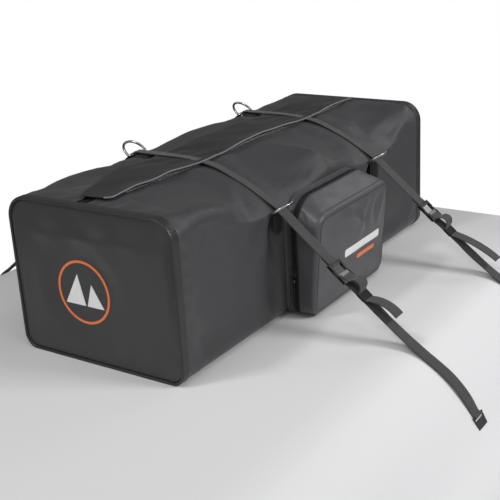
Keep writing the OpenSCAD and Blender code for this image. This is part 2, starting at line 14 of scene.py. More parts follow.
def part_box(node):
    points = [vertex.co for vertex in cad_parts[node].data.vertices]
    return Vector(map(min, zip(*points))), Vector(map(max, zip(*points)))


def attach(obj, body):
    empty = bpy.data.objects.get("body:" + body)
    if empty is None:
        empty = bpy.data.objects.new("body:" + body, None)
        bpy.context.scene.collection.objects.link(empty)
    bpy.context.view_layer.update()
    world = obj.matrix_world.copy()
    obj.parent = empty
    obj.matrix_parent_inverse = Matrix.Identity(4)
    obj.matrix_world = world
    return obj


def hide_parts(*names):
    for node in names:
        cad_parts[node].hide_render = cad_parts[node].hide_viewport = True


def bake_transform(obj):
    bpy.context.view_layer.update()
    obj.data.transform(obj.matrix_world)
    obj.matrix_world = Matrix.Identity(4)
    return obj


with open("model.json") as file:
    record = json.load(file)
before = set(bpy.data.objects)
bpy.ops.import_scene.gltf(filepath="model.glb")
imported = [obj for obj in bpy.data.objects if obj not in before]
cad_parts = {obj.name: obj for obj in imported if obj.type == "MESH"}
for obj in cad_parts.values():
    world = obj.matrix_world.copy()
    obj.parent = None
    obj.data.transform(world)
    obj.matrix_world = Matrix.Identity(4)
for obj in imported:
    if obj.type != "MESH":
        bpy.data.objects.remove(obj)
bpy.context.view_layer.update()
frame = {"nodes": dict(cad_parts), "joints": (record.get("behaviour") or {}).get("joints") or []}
MM = 0.001
JOINT = {j["name"]: j for j in frame["joints"]}
NODE = frame["nodes"]
X_AXIS = np.array([1.0, 0.0, 0.0])


def pivot(joint):
    return np.array(JOINT[joint]["pos_m"])


def ring_pivot(end, side):
    return pivot(f"{end}_ring_{side}_{'swing' if end == 'front' else 'tilt'}")


def node_box(node):
    lo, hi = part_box(node)
    return np.array(lo), np.array(hi)


# ---- numbers shared by the cloth

WRAP_HI = node_box("body_wrap")[1]
HALF_W = WRAP_HI[1]
TOP = WRAP_HI[2]
HALF_L = node_box("end_piping_right")[1][0]
STRAP_X = {side: pivot(f"leg_front_{side}_lift")[0] for side in ("left", "right")}
BASE_R, END_R, BACK_R = 28 * MM, 43 * MM, 56 * MM
CROWN_Y, FRONT_PULL = 20 * MM, 77.5 * MM
STRAP_ZONE, PULL_REACH = 24 * MM, 230 * MM
SHOULDER_RUN = HALF_W + CROWN_Y
SHOULDER_R = (SHOULDER_RUN**2 + FRONT_PULL**2) / (2 * FRONT_PULL)
SLOT = (13 * MM, 37 * MM)


def smooth(t):
    t = np.clip(t, 0, 1)
    return t * t * (3 - 2 * t)


def bump(d, width):
    return np.exp(-((d / width) ** 2))


def mix(a, b, t):
    return a + (b - a) * t


def unit(v):
    return v / np.linalg.norm(v, axis=-1, keepdims=True)


def arc(centre, radius, start, end, count):
    a = np.radians(np.linspace(start, end, count))
    return np.stack([centre[0] + radius * np.cos(a), centre[1] + radius * np.sin(a)], -1)


def line(a, b, count):
    return np.linspace(np.array(a), np.array(b), count)


def at_x(x, path):
    """[y, z] points as 3-D points at x."""
    return np.column_stack([np.broadcast_to(x, len(path)), path])


def at_y(y, loop):
    """[x, z] points as 3-D points at y."""
    return np.column_stack([loop[:, 0], np.broadcast_to(y, len(loop)), loop[:, 1]])


def lengths(path):
    return np.linalg.norm(np.diff(path, axis=0), axis=1)


def resample(path, count):
    """The same polyline with count points at equal steps."""
    path = np.asarray(path, float)
    run = np.r_[0, np.cumsum(lengths(path))]
    at = np.linspace(0, run[-1], count)
    return np.stack([np.interp(at, run, path[:, k]) for k in range(path.shape[1])], -1)


def round_box(x0, x1, z0, top, base_r, top_r, steps, count):
    """A box outline with round corners, as equal steps from the middle of its base."""
    corners = ((x1 - base_r, z0 + base_r, base_r, 270, steps), (x1 - top_r, top - top_r, top_r, 0, 16),
               (x0 + top_r, top - top_r, top_r, 90, 16), (x0 + base_r, z0 + base_r, base_r, 180, steps))
    middle = [[(x0 + x1) / 2, z0]]
    path = np.vstack([middle, *(arc((u, v), r, a, a + 90, n) for u, v, r, a, n in corners), middle])
    return resample(path, count + 1)[:-1]


def rounded(path, rounds=3):
    """Cuts the corners of a polyline, so that webbing bends instead of kinking."""
    path = np.asarray(path, float)
    for _ in range(rounds):
        a = mix(path[:-1], path[1:], 0.25)
        b = mix(path[:-1], path[1:], 0.75)
        inner = np.empty((2 * len(a), path.shape[1]))
        inner[0::2], inner[1::2] = a, b
        path = np.vstack([path[:1], inner, path[-1:]])
    return path


def ripple(points, wavelength, seed, waves=7):
    """Smooth noise between -1 and 1: a fixed sum of plane waves."""
    rng = np.random.default_rng(seed)
    total = np.zeros(points.shape[:-1])
    for _ in range(waves):
        k = unit(rng.normal(size=points.shape[-1])) * 2 * math.pi / wavelength
        k *= rng.uniform(0.6, 1.5)
        total += np.cos(points @ k + rng.uniform(0, 2 * math.pi))
    return total / math.sqrt(waves) / 1.6


# ---- meshes

def mesh_object(name, verts, faces, uvs=None):
    mesh = bpy.data.meshes.new(name)
    mesh.from_pydata(np.asarray(verts, float).reshape(-1, 3).tolist(), [], [list(f) for f in faces])
    if uvs is not None:
        layer = mesh.uv_layers.new(name="UVMap")
        layer.data.foreach_set("uv", np.asarray(uvs, np.float32).ravel())
    mesh.polygons.foreach_set("use_smooth", [True] * len(mesh.polygons))
    mesh.validate()
    mesh.update()
    obj = bpy.data.objects.new(name, mesh)
    bpy.context.scene.collection.objects.link(obj)
    return obj


def grid_faces(rows, cols, loop_rows=False, loop_cols=False):
    """Quads of a grid, and for each corner its own (row, col), which doesn't wrap, for UVs."""
    i, j = np.meshgrid(np.arange(rows if loop_rows else rows - 1),
                       np.arange(cols if loop_cols else cols - 1), indexing="ij")
    corner = np.stack([np.stack([i, j], -1), np.stack([i + 1, j], -1),
                       np.stack([i + 1, j + 1], -1), np.stack([i, j + 1], -1)], 2).reshape(-1, 4, 2)
    faces = (corner[..., 0] % rows) * cols + corner[..., 1] % cols
    return faces, corner


def sheet(name, grid, loop_cols=False, flip=False, keep=None):
    """A grid of points as a smooth quad mesh, with UVs in metres along the grid."""
    faces, corner = grid_faces(*grid.shape[:2], loop_cols=loop_cols)
    if keep is not None:
        chosen = keep(grid.reshape(-1, 3)[faces].mean(axis=1))
        faces, corner = faces[chosen], corner[chosen]
    uvs = corner * np.array([np.linalg.norm(np.diff(grid, axis=k), axis=-1).mean() for k in (0, 1)])
    if flip:
        faces, uvs = faces[:, ::-1], uvs[:, ::-1]
    return mesh_object(name, grid, faces, uvs)


def normals_of(grid):
    return unit(np.cross(np.gradient(grid, axis=0), np.gradient(grid, axis=1)) + 1e-12)


def swept(name, grid, uv_of, closed=False):
    """A section carried along a path, with caps at both ends unless it is closed."""
    rows, sides = grid.shape[:2]
    faces, corner = grid_faces(rows, sides, closed, True)
    faces, uvs = list(faces), list(uv_of(corner))
    if not closed:
        for cap in (range(sides)[::-1], range((rows - 1) * sides, rows * sides)):
            faces.append(cap)
            uvs.append(np.zeros((sides, 2)))
    return mesh_object(name, grid, faces, np.concatenate([np.reshape(u, (-1, 2)) for u in uvs]))


def modifier(obj, kind, **settings):
    m = obj.modifiers.new(kind.title(), kind)
    for key, value in settings.items():
        setattr(m, key, value)
    return m


def thicken(obj, thickness, offset=-1.0):
    return modifier(obj, "SOLIDIFY", thickness=thickness, offset=offset, use_even_offset=False)


def join_boxes(name, boxes, bevel, turn=None):
    """Boxes as one mesh with rounded edges: each is (centre, size)."""
    signs = np.array([[1 if k & 1 else -1, 1 if k & 2 else -1, 1 if k & 4 else -1] for k in range(8)])
    sides = ((0, 2, 3, 1), (4, 5, 7, 6), (0, 1, 5, 4), (2, 6, 7, 3), (0, 4, 6, 2), (1, 3, 7, 5))
    verts = np.vstack([np.array(centre) + signs * np.array(size) / 2 for centre, size in boxes])
    faces = [[8 * box + corner for corner in side] for box in range(len(boxes)) for side in sides]
    obj = mesh_object(name, verts if turn is None else turn(verts), faces)
    modifier(obj, "BEVEL", width=bevel, segments=3, limit_method="NONE")
    return obj


def tube(name, path, radius, sides, closed=False):
    """A round tube along a 3-D path; radius may be one number or one per point."""
    path = np.asarray(path, float)
    radius = np.broadcast_to(radius, len(path))
    if closed:
        tangent = unit(np.roll(path, -1, 0) - np.roll(path, 1, 0))
    else:
        tangent = unit(np.gradient(path, axis=0))
    side = np.cross(tangent, [0, 0, 1.0])
    weak = np.linalg.norm(side, axis=1) < 0.2
    side[weak] = np.cross(tangent[weak], [0, 1.0, 0])
    normal = [unit(side[0])]
    for t in tangent[1:]:
        n = normal[-1] - t * (normal[-1] @ t)
        normal.append(unit(n))
    normal = np.array(normal)
    other = np.cross(tangent, normal)
    a = np.linspace(0, 2 * math.pi, sides, endpoint=False)
    ring = np.cos(a)[None, :, None] * normal[:, None] + np.sin(a)[None, :, None] * other[:, None]
    grid = path[:, None] + ring * radius[:, None, None]
    step = lengths(path).mean()
    uv_size = np.array([step, 2 * math.pi * radius.mean() / sides])
    return swept(name, grid, lambda corner: corner * uv_size, closed)


def ribbon(name, path, width, thickness, step=2.5 * MM, wave=0.25 * MM):
    """Flat webbing along a path, with soft edges and a slight waver."""
    length = lengths(path).sum()
    path = resample(path, max(8, int(length / step)))
    tangent = unit(np.gradient(path, axis=0))
    normal = np.cross(tangent, X_AXIS)
    if normal[:, 2].mean() < 0:
        normal = -normal
    normal = unit(normal)
    edge = thickness / 2
    half = width / 2
    flat = np.linspace(-half + edge, half - edge, 9)
    curve = np.radians([60, 20, -20, -60])
    top = [(a, edge) for a in flat]
    right = [(half - edge + edge * math.cos(c), edge * math.sin(c)) for c in curve]
    low = [(a, -edge) for a in flat[::-1]]
    left = [(-half + edge - edge * math.cos(c), edge * math.sin(c)) for c in -curve]
    section = np.array(top + right + low + left)
    grid = path[:, None] + section[None, :, :1] * X_AXIS + section[None, :, 1:] * normal[:, None]
    waver = ripple(path[:, 1:], 60 * MM, len(name)) * wave
    edge_lift = (section[:, 0] / half) ** 3
    grid += (waver[:, None] * edge_lift[None])[..., None] * normal[:, None]
    u = np.r_[section[:, 0], section[:1, 0]]
    run = np.arange(len(path)) * length / (len(path) - 1)
    return swept(name, grid, lambda corner: np.stack([u[corner[..., 1]], run[corner[..., 0]]], -1))


def finish_piece(obj, body, slot, material, *stands_for):
    obj.data.materials.append(material)
    if stands_for:
        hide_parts(*stands_for)
    if body:
        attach(obj, body)
    return obj


def cloth(name, rows, body, slot, material, *stands_for, thick=1.3 * MM, offset=-1.0, **how):
    """A finished sheet with a thickness."""
    piece = sheet(name, np.asarray(rows), **how)
    thicken(piece, thick, offset)
    return finish_piece(piece, body, slot, material, *stands_for)


def dress(node, material, bevel):
    """Keeps a CAD node, with soft edges and its own finish."""
    NODE[node].data.materials.clear()
    NODE[node].data.materials.append(material)
    modifier(NODE[node], "BEVEL", width=bevel, segments=2, limit_method="ANGLE")


# ---- materials

class Nodes:
    """A material's node tree with short names for what is used here."""

    def __init__(self, name, rough=0.5, metal=0.0):
        self.material = bpy.data.materials.new(name)
        self.material.use_nodes = True
        self.tree = self.material.node_tree
        self.shader = self.tree.nodes["Principled BSDF"]
        self.set(self.shader, "Roughness", rough)
        self.set(self.shader, "Metallic", metal)
        self.coords = self.tree.nodes.new("ShaderNodeTexCoord")

    def set(self, node, socket, value):
        if isinstance(value, bpy.types.NodeSocket):
            self.tree.links.new(value, node.inputs[socket])
        else:
            node.inputs[socket].default_value = value

    def make(self, kind, **inputs):
        node = self.tree.nodes.new(kind)
        for key, value in inputs.items():
            if key in node.inputs:
                self.set(node, key, value)
            else:
                setattr(node, key, value)
        return node

    def noise(self, size, detail=3.0):
        return self.make("ShaderNodeTexNoise", Vector=self.coords.outputs["Object"],
                         Scale=1 / size, Detail=detail).outputs["Fac"]

    def cells(self, size):
        return self.make("ShaderNodeTexVoronoi", Vector=self.coords.outputs["Object"],
                         Scale=1 / size).outputs["Distance"]

    def maths(self, operation, a, b=0.0, c=0.0):
        node = self.tree.nodes.new("ShaderNodeMath")
        node.operation = operation
        for socket, value in enumerate((a, b, c)):
            self.set(node, socket, value)
        return node.outputs[0]

    def remap(self, value, low, high, to_low, to_high):
        node = self.make("ShaderNodeMapRange")
        for socket, v in zip(("Value", "From Min", "From Max", "To Min", "To Max"),
                             (value, low, high, to_low, to_high)):
            self.set(node, socket, v)
        return node.outputs["Result"]

    def tint(self, fac, color, dark, light=1.0):
        """The colour made darker and lighter by fac."""
        node = self.make("ShaderNodeMix", data_type="RGBA")
        self.set(node, "Factor", fac)
        for socket, factor in (("A", dark), ("B", light)):
            node.inputs[socket].default_value = (*(c * factor for c in color), 1)
        return node.outputs["Result"]

    def relief(self, height, depth, strength=1.0, below=None):
        node = self.make("ShaderNodeBump")
        self.set(node, "Height", height)
        node.inputs["Distance"].default_value = depth
        node.inputs["Strength"].default_value = strength
        if below is not None:
            self.set(node, "Normal", below)
        return node.outputs["Normal"]

    def finish(self, color=None, rough=None, normal=None):
        for socket, value in (("Base Color", color), ("Roughness", rough), ("Normal", normal)):
            if value is not None:
                self.set(self.shader, socket, value)
        return self.material


def coated_fabric(name, color, rough=0.5, grain=1.0):
    """PVC-coated cloth: a fine leathery grain over the faint weave of its base cloth."""
    n = Nodes(name)
    large = n.noise(160 * MM, 2)
    fine = n.noise(2.2 * MM, 5)
    color_fac = n.maths("MULTIPLY_ADD", fine, 0.35, n.maths("MULTIPLY", large, 0.75))
    tint = n.tint(color_fac, color, 0.82, 1.22)
    rubbed = n.remap(n.noise(38 * MM, 6), 0.35, 0.7, rough + 0.05, rough - 0.07)
    cloth = n.relief(n.cells(1.1 * MM), 0.12 * MM, 0.22 * grain)
    skin = n.relief(fine, 0.25 * MM, 0.3 * grain, cloth)
    soft = n.relief(n.noise(26 * MM, 3), 1.2 * MM, 0.25 * grain, skin)
    n.set(n.shader, "Specular IOR Level", 0.42)
    n.set(n.shader, "Sheen Weight", 0.08)
    n.set(n.shader, "Sheen Roughness", 0.5)
    return n.finish(tint, rubbed, soft)


def webbing(name, color):
    """Woven polyester webbing: warp ribs along it, picks across, and a tighter edge."""
    n = Nodes(name, 0.78)
    uv = n.make("ShaderNodeSeparateXYZ")
    n.set(uv, 0, n.coords.outputs["UV"])
    across, along = uv.outputs["X"], uv.outputs["Y"]
    rib = n.maths("SINE", n.maths("MULTIPLY", across, 2 * math.pi / (1.9 * MM)))
    pick = n.maths("SINE", n.maths("MULTIPLY_ADD", along, 2 * math.pi / (2.1 * MM),
                                   n.maths("MULTIPLY", rib, 1.4)))
    weave = n.remap(n.maths("MULTIPLY", rib, pick), -1, 1, 0, 1)
    wear = n.noise(7 * MM, 5)
    edge = n.remap(n.maths("ABSOLUTE", across), 12.5 * MM, 14.5 * MM, 0, 1)
    fac = n.maths("MULTIPLY_ADD", weave, 0.5, n.maths("MULTIPLY", wear, 0.6))
    fac = n.maths("SUBTRACT", fac, n.maths("MULTIPLY", edge, 0.35))
    tint = n.tint(fac, color, 0.5, 1.5)
    fuzz = n.relief(n.noise(0.7 * MM, 4), 0.1 * MM, 0.4)
    n.set(n.shader, "Sheen Weight", 0.25)
    n.set(n.shader, "Sheen Roughness", 0.4)
    return n.finish(tint, None, n.relief(weave, 0.5 * MM, 0.8, fuzz))


def moulded(name, color, rough=0.38, grain=0.5):
    """Moulded plastic or coating: an etched skin, with slightly polished patches."""
    n = Nodes(name)
    skin = n.noise(0.6 * MM, 3)
    rub = n.noise(9 * MM, 5)
    tint = n.tint(rub, color, 0.85, 1.25)
    return n.finish(tint, n.remap(rub, 0.3, 0.7, rough + 0.08, rough - 0.08),
                    n.relief(skin, 0.08 * MM, grain))


def plated(name, color, rough=0.16):
    """Bright nickel plate with fine rubbing marks and duller hollows."""
    n = Nodes(name, rough, 1.0)
    marks = n.noise(1.4 * MM, 6)
    dull = n.noise(6 * MM, 3)
    tint = n.tint(dull, color, 0.8)
    return n.finish(tint, n.remap(marks, 0.3, 0.75, rough - 0.05, rough + 0.16),
                    n.relief(marks, 0.03 * MM, 0.4))


def tape_cloth(name, color):
    """Twill zipper tape and narrow woven bindings."""
    n = Nodes(name, 0.8)
    place = n.make("ShaderNodeSeparateXYZ")
    n.set(place, 0, n.coords.outputs["Object"])
    slant = n.maths("ADD", place.outputs["X"], n.maths("ADD", place.outputs["Y"], place.outputs["Z"]))
    twill = n.remap(n.maths("SINE", n.maths("MULTIPLY", slant, 2 * math.pi / (1.3 * MM))), -1, 1, 0, 1)
    fac = n.maths("MULTIPLY_ADD", twill, 0.5, n.maths("MULTIPLY", n.noise(5 * MM), 0.5))
    tint = n.tint(fac, color, 0.6, 1.5)
    return n.finish(tint, None, n.relief(twill, 0.25 * MM, 0.6))


def fuzzy(name, color):
    """Hook-and-loop strip or brushed elastic."""
    n = Nodes(name, 0.95)
    pile = n.cells(0.9 * MM)
    n.set(n.shader, "Sheen Weight", 0.5)
    return n.finish(n.tint(n.noise(0.8 * MM, 5), color, 0.4, 2.0), None, n.relief(pile, 0.7 * MM, 0.9))


def film(name, color):
    """Soft moulded badge film: a slightly uneven colour and an orange-peel skin."""
    n = Nodes(name)
    tint = n.tint(n.noise(12 * MM, 4), color, 0.9)
    return n.finish(tint, n.remap(n.noise(5 * MM), 0.3, 0.7, 0.45, 0.34),
                    n.relief(n.noise(0.9 * MM, 4), 0.1 * MM, 0.35))


FABRIC = coated_fabric("wrap_fabric", (0.042, 0.042, 0.045), 0.48)
# The end panels use a darker copy of the wrap's fabric: painted shade for the ends that face away from the
# lights.
END_PANEL_SHADED_FABRIC = coated_fabric("end_panel_fabric", (0.03, 0.03, 0.032), 0.4)
# The storm flap's near-black copy of the fabric is painted shade: it keeps the top reading dark under the
# lights.
FLAP_SHADED_FABRIC = coated_fabric("flap_fabric", (0.015, 0.015, 0.016), 0.5)
# The light grey lip fabric is a painted highlight along the flap's rolled front edge.
LIP_HIGHLIGHT_FABRIC = coated_fabric("flap_lip_fabric", (0.17, 0.17, 0.175), 0.32, 0.6)
POCKET_FABRIC = coated_fabric("pocket_fabric", (0.066, 0.066, 0.07), 0.42)
BAND_FABRIC = coated_fabric("welded_band", (0.02, 0.02, 0.021), 0.42, 1.5)
TAB_FABRIC = coated_fabric("tab_fabric", (0.014, 0.014, 0.015), 0.55, 1.6)
WEBBING = webbing("strap_webbing", (0.04, 0.04, 0.042))
BLACK_PLASTIC = moulded("buckle_black", (0.016, 0.016, 0.017), 0.36)
GREY_PLASTIC = moulded("buckle_grey", (0.2, 0.2, 0.205), 0.34)
LIGHT_PLASTIC = moulded("buckle_lip", (0.34, 0.34, 0.35), 0.36)
COIL = moulded("zipper_coil", (0.008, 0.008, 0.009), 0.3)
SLIDER_PAINT = moulded("slider_paint", (0.022, 0.022, 0.024), 0.28)
VINYL = moulded("clip_vinyl", (0.022, 0.022, 0.024), 0.42, 0.8)
NICKEL = plated("ring_nickel", (0.4, 0.4, 0.41), 0.22)
TAPE = tape_cloth("zipper_tape_cloth", (0.01, 0.01, 0.011))
CORD = tape_cloth("pull_cord", (0.012, 0.012, 0.013))
THREAD = tape_cloth("black_thread", (0.045, 0.045, 0.047))
HOOK_LOOP = fuzzy("hook_and_loop_pile", (0.012, 0.012, 0.013))
ELASTIC = tape_cloth("keeper_elastic_cloth", (0.007, 0.007, 0.0075))
ORANGE = film("badge_orange_film", (0.83, 0.2, 0.055))
WHITE = film("badge_white_film", (0.86, 0.86, 0.85))


# ---- the bag's wrap

def strap_distance(x):
    return np.minimum(abs(x - STRAP_X["left"]), abs(x - STRAP_X["right"]))


def pull_at(x):
    return 1 - smooth((strap_distance(x) - STRAP_ZONE) / PULL_REACH)


def crown_lift(x):
    """The load pushes the top up where no strap presses it."""
    between = smooth((strap_distance(x) - 22 * MM) / (110 * MM))
    to_end = smooth((HALF_L - abs(x)) / (200 * MM))
    return (5.5 * between * to_end - 1.2 * (1 - between)) * MM


def wrap_paths(counts):
    """Square and pulled outlines as [y, z], in matching points, from the slot round to the slot."""
    n_top, n_face, n_corner, n_base, n_back = counts
    centre = (CROWN_Y, TOP - SHOULDER_R)
    start = math.degrees(math.asin((CROWN_Y - SLOT[0]) / SHOULDER_R))
    end = math.degrees(math.asin(SHOULDER_RUN / SHOULDER_R))
    pulled_top = resample(arc(centre, SHOULDER_R, 90 + start, 90 + end, 60), n_top)
    square_top = resample(np.vstack([[SLOT[0], TOP],
                                     arc((-HALF_W + END_R, TOP - END_R), END_R, 90, 180, 24)]), n_top)
    paths = []
    for shoulder, radius in ((square_top, END_R), (pulled_top, BACK_R)):
        b = BASE_R
        paths.append(np.vstack([
            shoulder,
            line(shoulder[-1], (-HALF_W, b), n_face)[1:],
            arc((-HALF_W + b, b), b, 180, 270, n_corner)[1:],
            line((-HALF_W + b, 0), (HALF_W - b, 0), n_base)[1:],
            arc((HALF_W - b, b), b, 270, 360, n_corner)[1:],
            line((HALF_W, b), (HALF_W, TOP - radius), n_face)[1:],
            arc((HALF_W - radius, TOP - radius), radius, 0, 90, n_corner)[1:],
            line((HALF_W - radius, TOP), (SLOT[1], TOP), n_back)[1:]]))
    return paths


POCKET_LO, POCKET_HI = node_box("pocket_rim")


def free_cloth(grid):
    """1 where the cloth is free to billow, 0 where seams, base, straps or the pocket hold it."""
    x, y, z = np.moveaxis(grid, -1, 0)
    ends = smooth((HALF_L - 12 * MM - abs(x)) / (70 * MM))
    base = smooth((z - 6 * MM) / (50 * MM))
    on_front = y < -HALF_W + 30 * MM
    beside = np.maximum(POCKET_LO[0] - x, x - POCKET_HI[0])
    above = z - POCKET_HI[2]
    pocket = np.where(on_front, smooth(np.maximum(beside, above) / (45 * MM)), 1)
    near_slot = np.where(z > TOP - 20 * MM, smooth((abs(y - np.mean(SLOT)) - 14 * MM) / (60 * MM)), 1)
    under_strap = np.where(z > 225 * MM, smooth((strap_distance(x) - 14 * MM) / (50 * MM)), 1)
    return ends * base * pocket * near_slot * under_strap


def folds(grid):
    """Height of the folds that the straps and the load draw in the cloth."""
    x, y, z = np.moveaxis(grid, -1, 0)
    height = np.zeros(x.shape)
    front = smooth((-y - 60 * MM) / (90 * MM))
    for side in ("left", "right"):
        ring = ring_pivot("front", side)
        below = ring[2] - z
        # a crease straight down from each ring, between two soft ridges
        fade = smooth(below / (14 * MM)) * (1 - smooth((below - 30 * MM) / (80 * MM)))
        wander = 9 * MM * np.sin(below / (34 * MM))
        height -= front * fade * 6.5 * MM * bump(x - ring[0] + 9 * MM + wander, 9 * MM)
        height += front * fade * 4.0 * MM * bump(x - ring[0] + 34 * MM + wander, 18 * MM)
        # folds that fan out from the ring across the front
        away = np.hypot(x - ring[0], z - ring[2]) + 1e-6
        angle = np.arctan2(z - ring[2], x - ring[0])
        fan = np.cos(angle * 9 + 1.3) * smooth((away - 25 * MM) / (50 * MM)) * bump(away - 70 * MM, 90 * MM)
        height += front * fan * 1.3 * MM * smooth((ring[2] + 30 * MM - z) / (20 * MM))
        # small puckers across the top beside each strap
        top = smooth((z - (TOP - 40 * MM)) / (30 * MM))
        beside = abs(x - STRAP_X[side]) - 15 * MM
        pucker = np.sin(y / (7.5 * MM) + 3 * x / (60 * MM)) * bump(beside - 14 * MM, 20 * MM)
        height += top * pucker * 0.9 * MM
        height += top * 3.0 * MM * bump(beside - 30 * MM, 22 * MM)
    return height


def band_puckers(grid):
    """Short wrinkles where the wrap meets the welded bands."""
    x, y, z = np.moveaxis(grid, -1, 0)
    inwards = HALF_L - 21 * MM - abs(x)
    around = np.where(z > TOP - 30 * MM, y, z)
    wave = np.sin(around / (6.2 * MM) + 2.2 * np.sin(around / (31 * MM)) + 4 * inwards / (40 * MM))
    fade = bump(inwards - 9 * MM, 15 * MM) * smooth(inwards / (4 * MM)) * smooth(z / (30 * MM))
    return 1.1 * MM * wave * fade


def base_grid(xs, counts):
    square, pulled = wrap_paths(counts)
    pull = pull_at(xs)[:, None, None]
    outline = mix(square[None], pulled[None], pull)
    grid = np.concatenate([np.broadcast_to(xs[:, None, None], outline.shape[:2] + (1,)), outline], -1)
    high = smooth((grid[..., 2] - 0.75 * TOP) / (0.25 * TOP))
    grid[..., 2] += high * crown_lift(xs)[:, None]
    return grid


COARSE, FINE = (16, 14, 4, 22, 10), (46, 40, 10, 64, 28)


CLOTH_FRAMES, CLOTH_PRESSURE, CLOTH_SLACK, CLOTH_LIMIT = 20, 4.0, -0.012, 9 * MM


def simulate_cloth(grid, free):
    """Blows the held sheet up with Blender's cloth solver; returns how far each point moved."""
    obj = sheet("cloth_trial", grid)
    pinned = obj.vertex_groups.new(name="held")
    hold = 1 - free.reshape(-1)
    for weight in np.unique(hold.round(2)):
        chosen = np.flatnonzero(hold.round(2) == weight)
        pinned.add([int(i) for i in chosen], float(weight), "REPLACE")
    solver = obj.modifiers.new("Cloth", "CLOTH")
    s = solver.settings
    s.quality, s.mass, s.time_scale = 6, 0.35, 1.0
    s.tension_stiffness, s.compression_stiffness, s.shear_stiffness = 18, 12, 6
    s.bending_stiffness, s.air_damping = 1.6, 2.0
    s.use_pressure, s.uniform_pressure_force = True, CLOTH_PRESSURE
    s.shrink_min = CLOTH_SLACK
    s.vertex_group_mass, s.pin_stiffness = "held", 1.0
    s.effector_weights.gravity = 0.0
    solver.collision_settings.use_self_collision = False
    solver.point_cache.frame_start, solver.point_cache.frame_end = 1, CLOTH_FRAMES
    scene = bpy.context.scene
    for f in range(1, CLOTH_FRAMES + 1):
        scene.frame_set(f)
    done = obj.evaluated_get(bpy.context.evaluated_depsgraph_get()).to_mesh()
    co = np.empty(len(done.vertices) * 3)
    done.vertices.foreach_get("co", co)
    moved = co.reshape(grid.shape) - grid
    obj.to_mesh_clear()
    bpy.data.objects.remove(obj)
    scene.frame_set(1)
    size = np.linalg.norm(moved, axis=-1, keepdims=True)
    return moved * np.minimum(1, CLOTH_LIMIT / np.maximum(size, 1e-9)) * (free[..., None] > 0)


def stretch(values, rows, cols):
    """Bilinear resize of a field over the grid."""
    r = np.linspace(0, values.shape[0] - 1, rows)
    c = np.linspace(0, values.shape[1] - 1, cols)
    i, j = np.minimum(r.astype(int), values.shape[0] - 2), np.minimum(c.astype(int), values.shape[1] - 2)
    u, v = (r - i)[:, None, None], (c - j)[None, :, None]
    a, b = values[i][:, j], values[i][:, j + 1]
    d, e = values[i + 1][:, j], values[i + 1][:, j + 1]
    return mix(mix(a, b, v), mix(d, e, v), u)


def soften(field, rounds):
    for _ in range(rounds):
        padded = np.pad(field, ((1, 1), (1, 1), (0, 0)), mode="edge")
        field = (padded[:-2, 1:-1] + padded[2:, 1:-1] + padded[1:-1, :-2] + padded[1:-1, 2:]) / 8 + field / 2
    return field


def wrap_grid():
    end = WRAP_HI[0] - 0.5 * MM
    fine = base_grid(np.linspace(-end, end, 201), FINE)
    out = -normals_of(fine)
    free = free_cloth(fine)
    swell = ripple(fine, 330 * MM, 3) * 3.2 * MM + ripple(fine, 120 * MM, 5) * 1.1 * MM
    drawn = folds(fine) * smooth((HALF_L - abs(fine[..., 0])) / (60 * MM)) + band_puckers(fine)
    fine = fine + out * (free * swell + drawn)[..., None]
    trial = base_grid(np.linspace(-end, end, 67), COARSE)
    trial += -normals_of(trial) * (free_cloth(trial) * ripple(trial, 70 * MM, 9) * 1.0 * MM)[..., None]
    moved = soften(simulate_cloth(trial, free_cloth(trial)), 1)
    fine = fine + stretch(moved, *fine.shape[:2]) * smooth(free * 3)[..., None]
    return fine


WRAP = wrap_grid()


def build_wrap():
    cloth("bag_wrap", WRAP, "bag", "coated_fabric", FABRIC, "body_wrap", thick=1.4 * MM, flip=True)


# ---- end panels and welded bands

def end_outline(edge, count):
    """Outline of the bag's end as [y, z], grown by edge."""
    w = HALF_W + edge
    return round_box(-w, w, max(0, -edge), TOP + edge, BASE_R + edge, END_R + edge, ARC_STEPS, count)


ARC_STEPS = 12
OUTLINE_STEPS = 260
LEAN_DEPTH, PILLOW_DEPTH = 66 * MM, 50 * MM
PILLOWS = ((100, 32, 6), (-8, 38, 7), (-95, 34, 3))  # place across, width and height in millimetres
BAND_SECTION = (  # millimetres out from the edge and inwards along the bag, and how deep the ribs are
    (-4.6, 3.0, 0), (-4.2, 1.2, 0), (-2.2, 0.15, 0), (0.0, 0.3, 0), (1.0, 1.6, 0.2), (1.5, 4.2, 0.5),
    (1.3, 8.0, 1), (1.3, 12.0, 1), (1.3, 16.0, 1), (1.3, 19.0, 0.8), (0.7, 20.8, 0), (-0.9, 21.2, 0))
BADGE_LO, BADGE_HI = node_box("badge_ring")
BADGE_CENTRE, BADGE_R = (BADGE_LO + BADGE_HI) / 2, (BADGE_HI[1] - BADGE_LO[1]) / 2


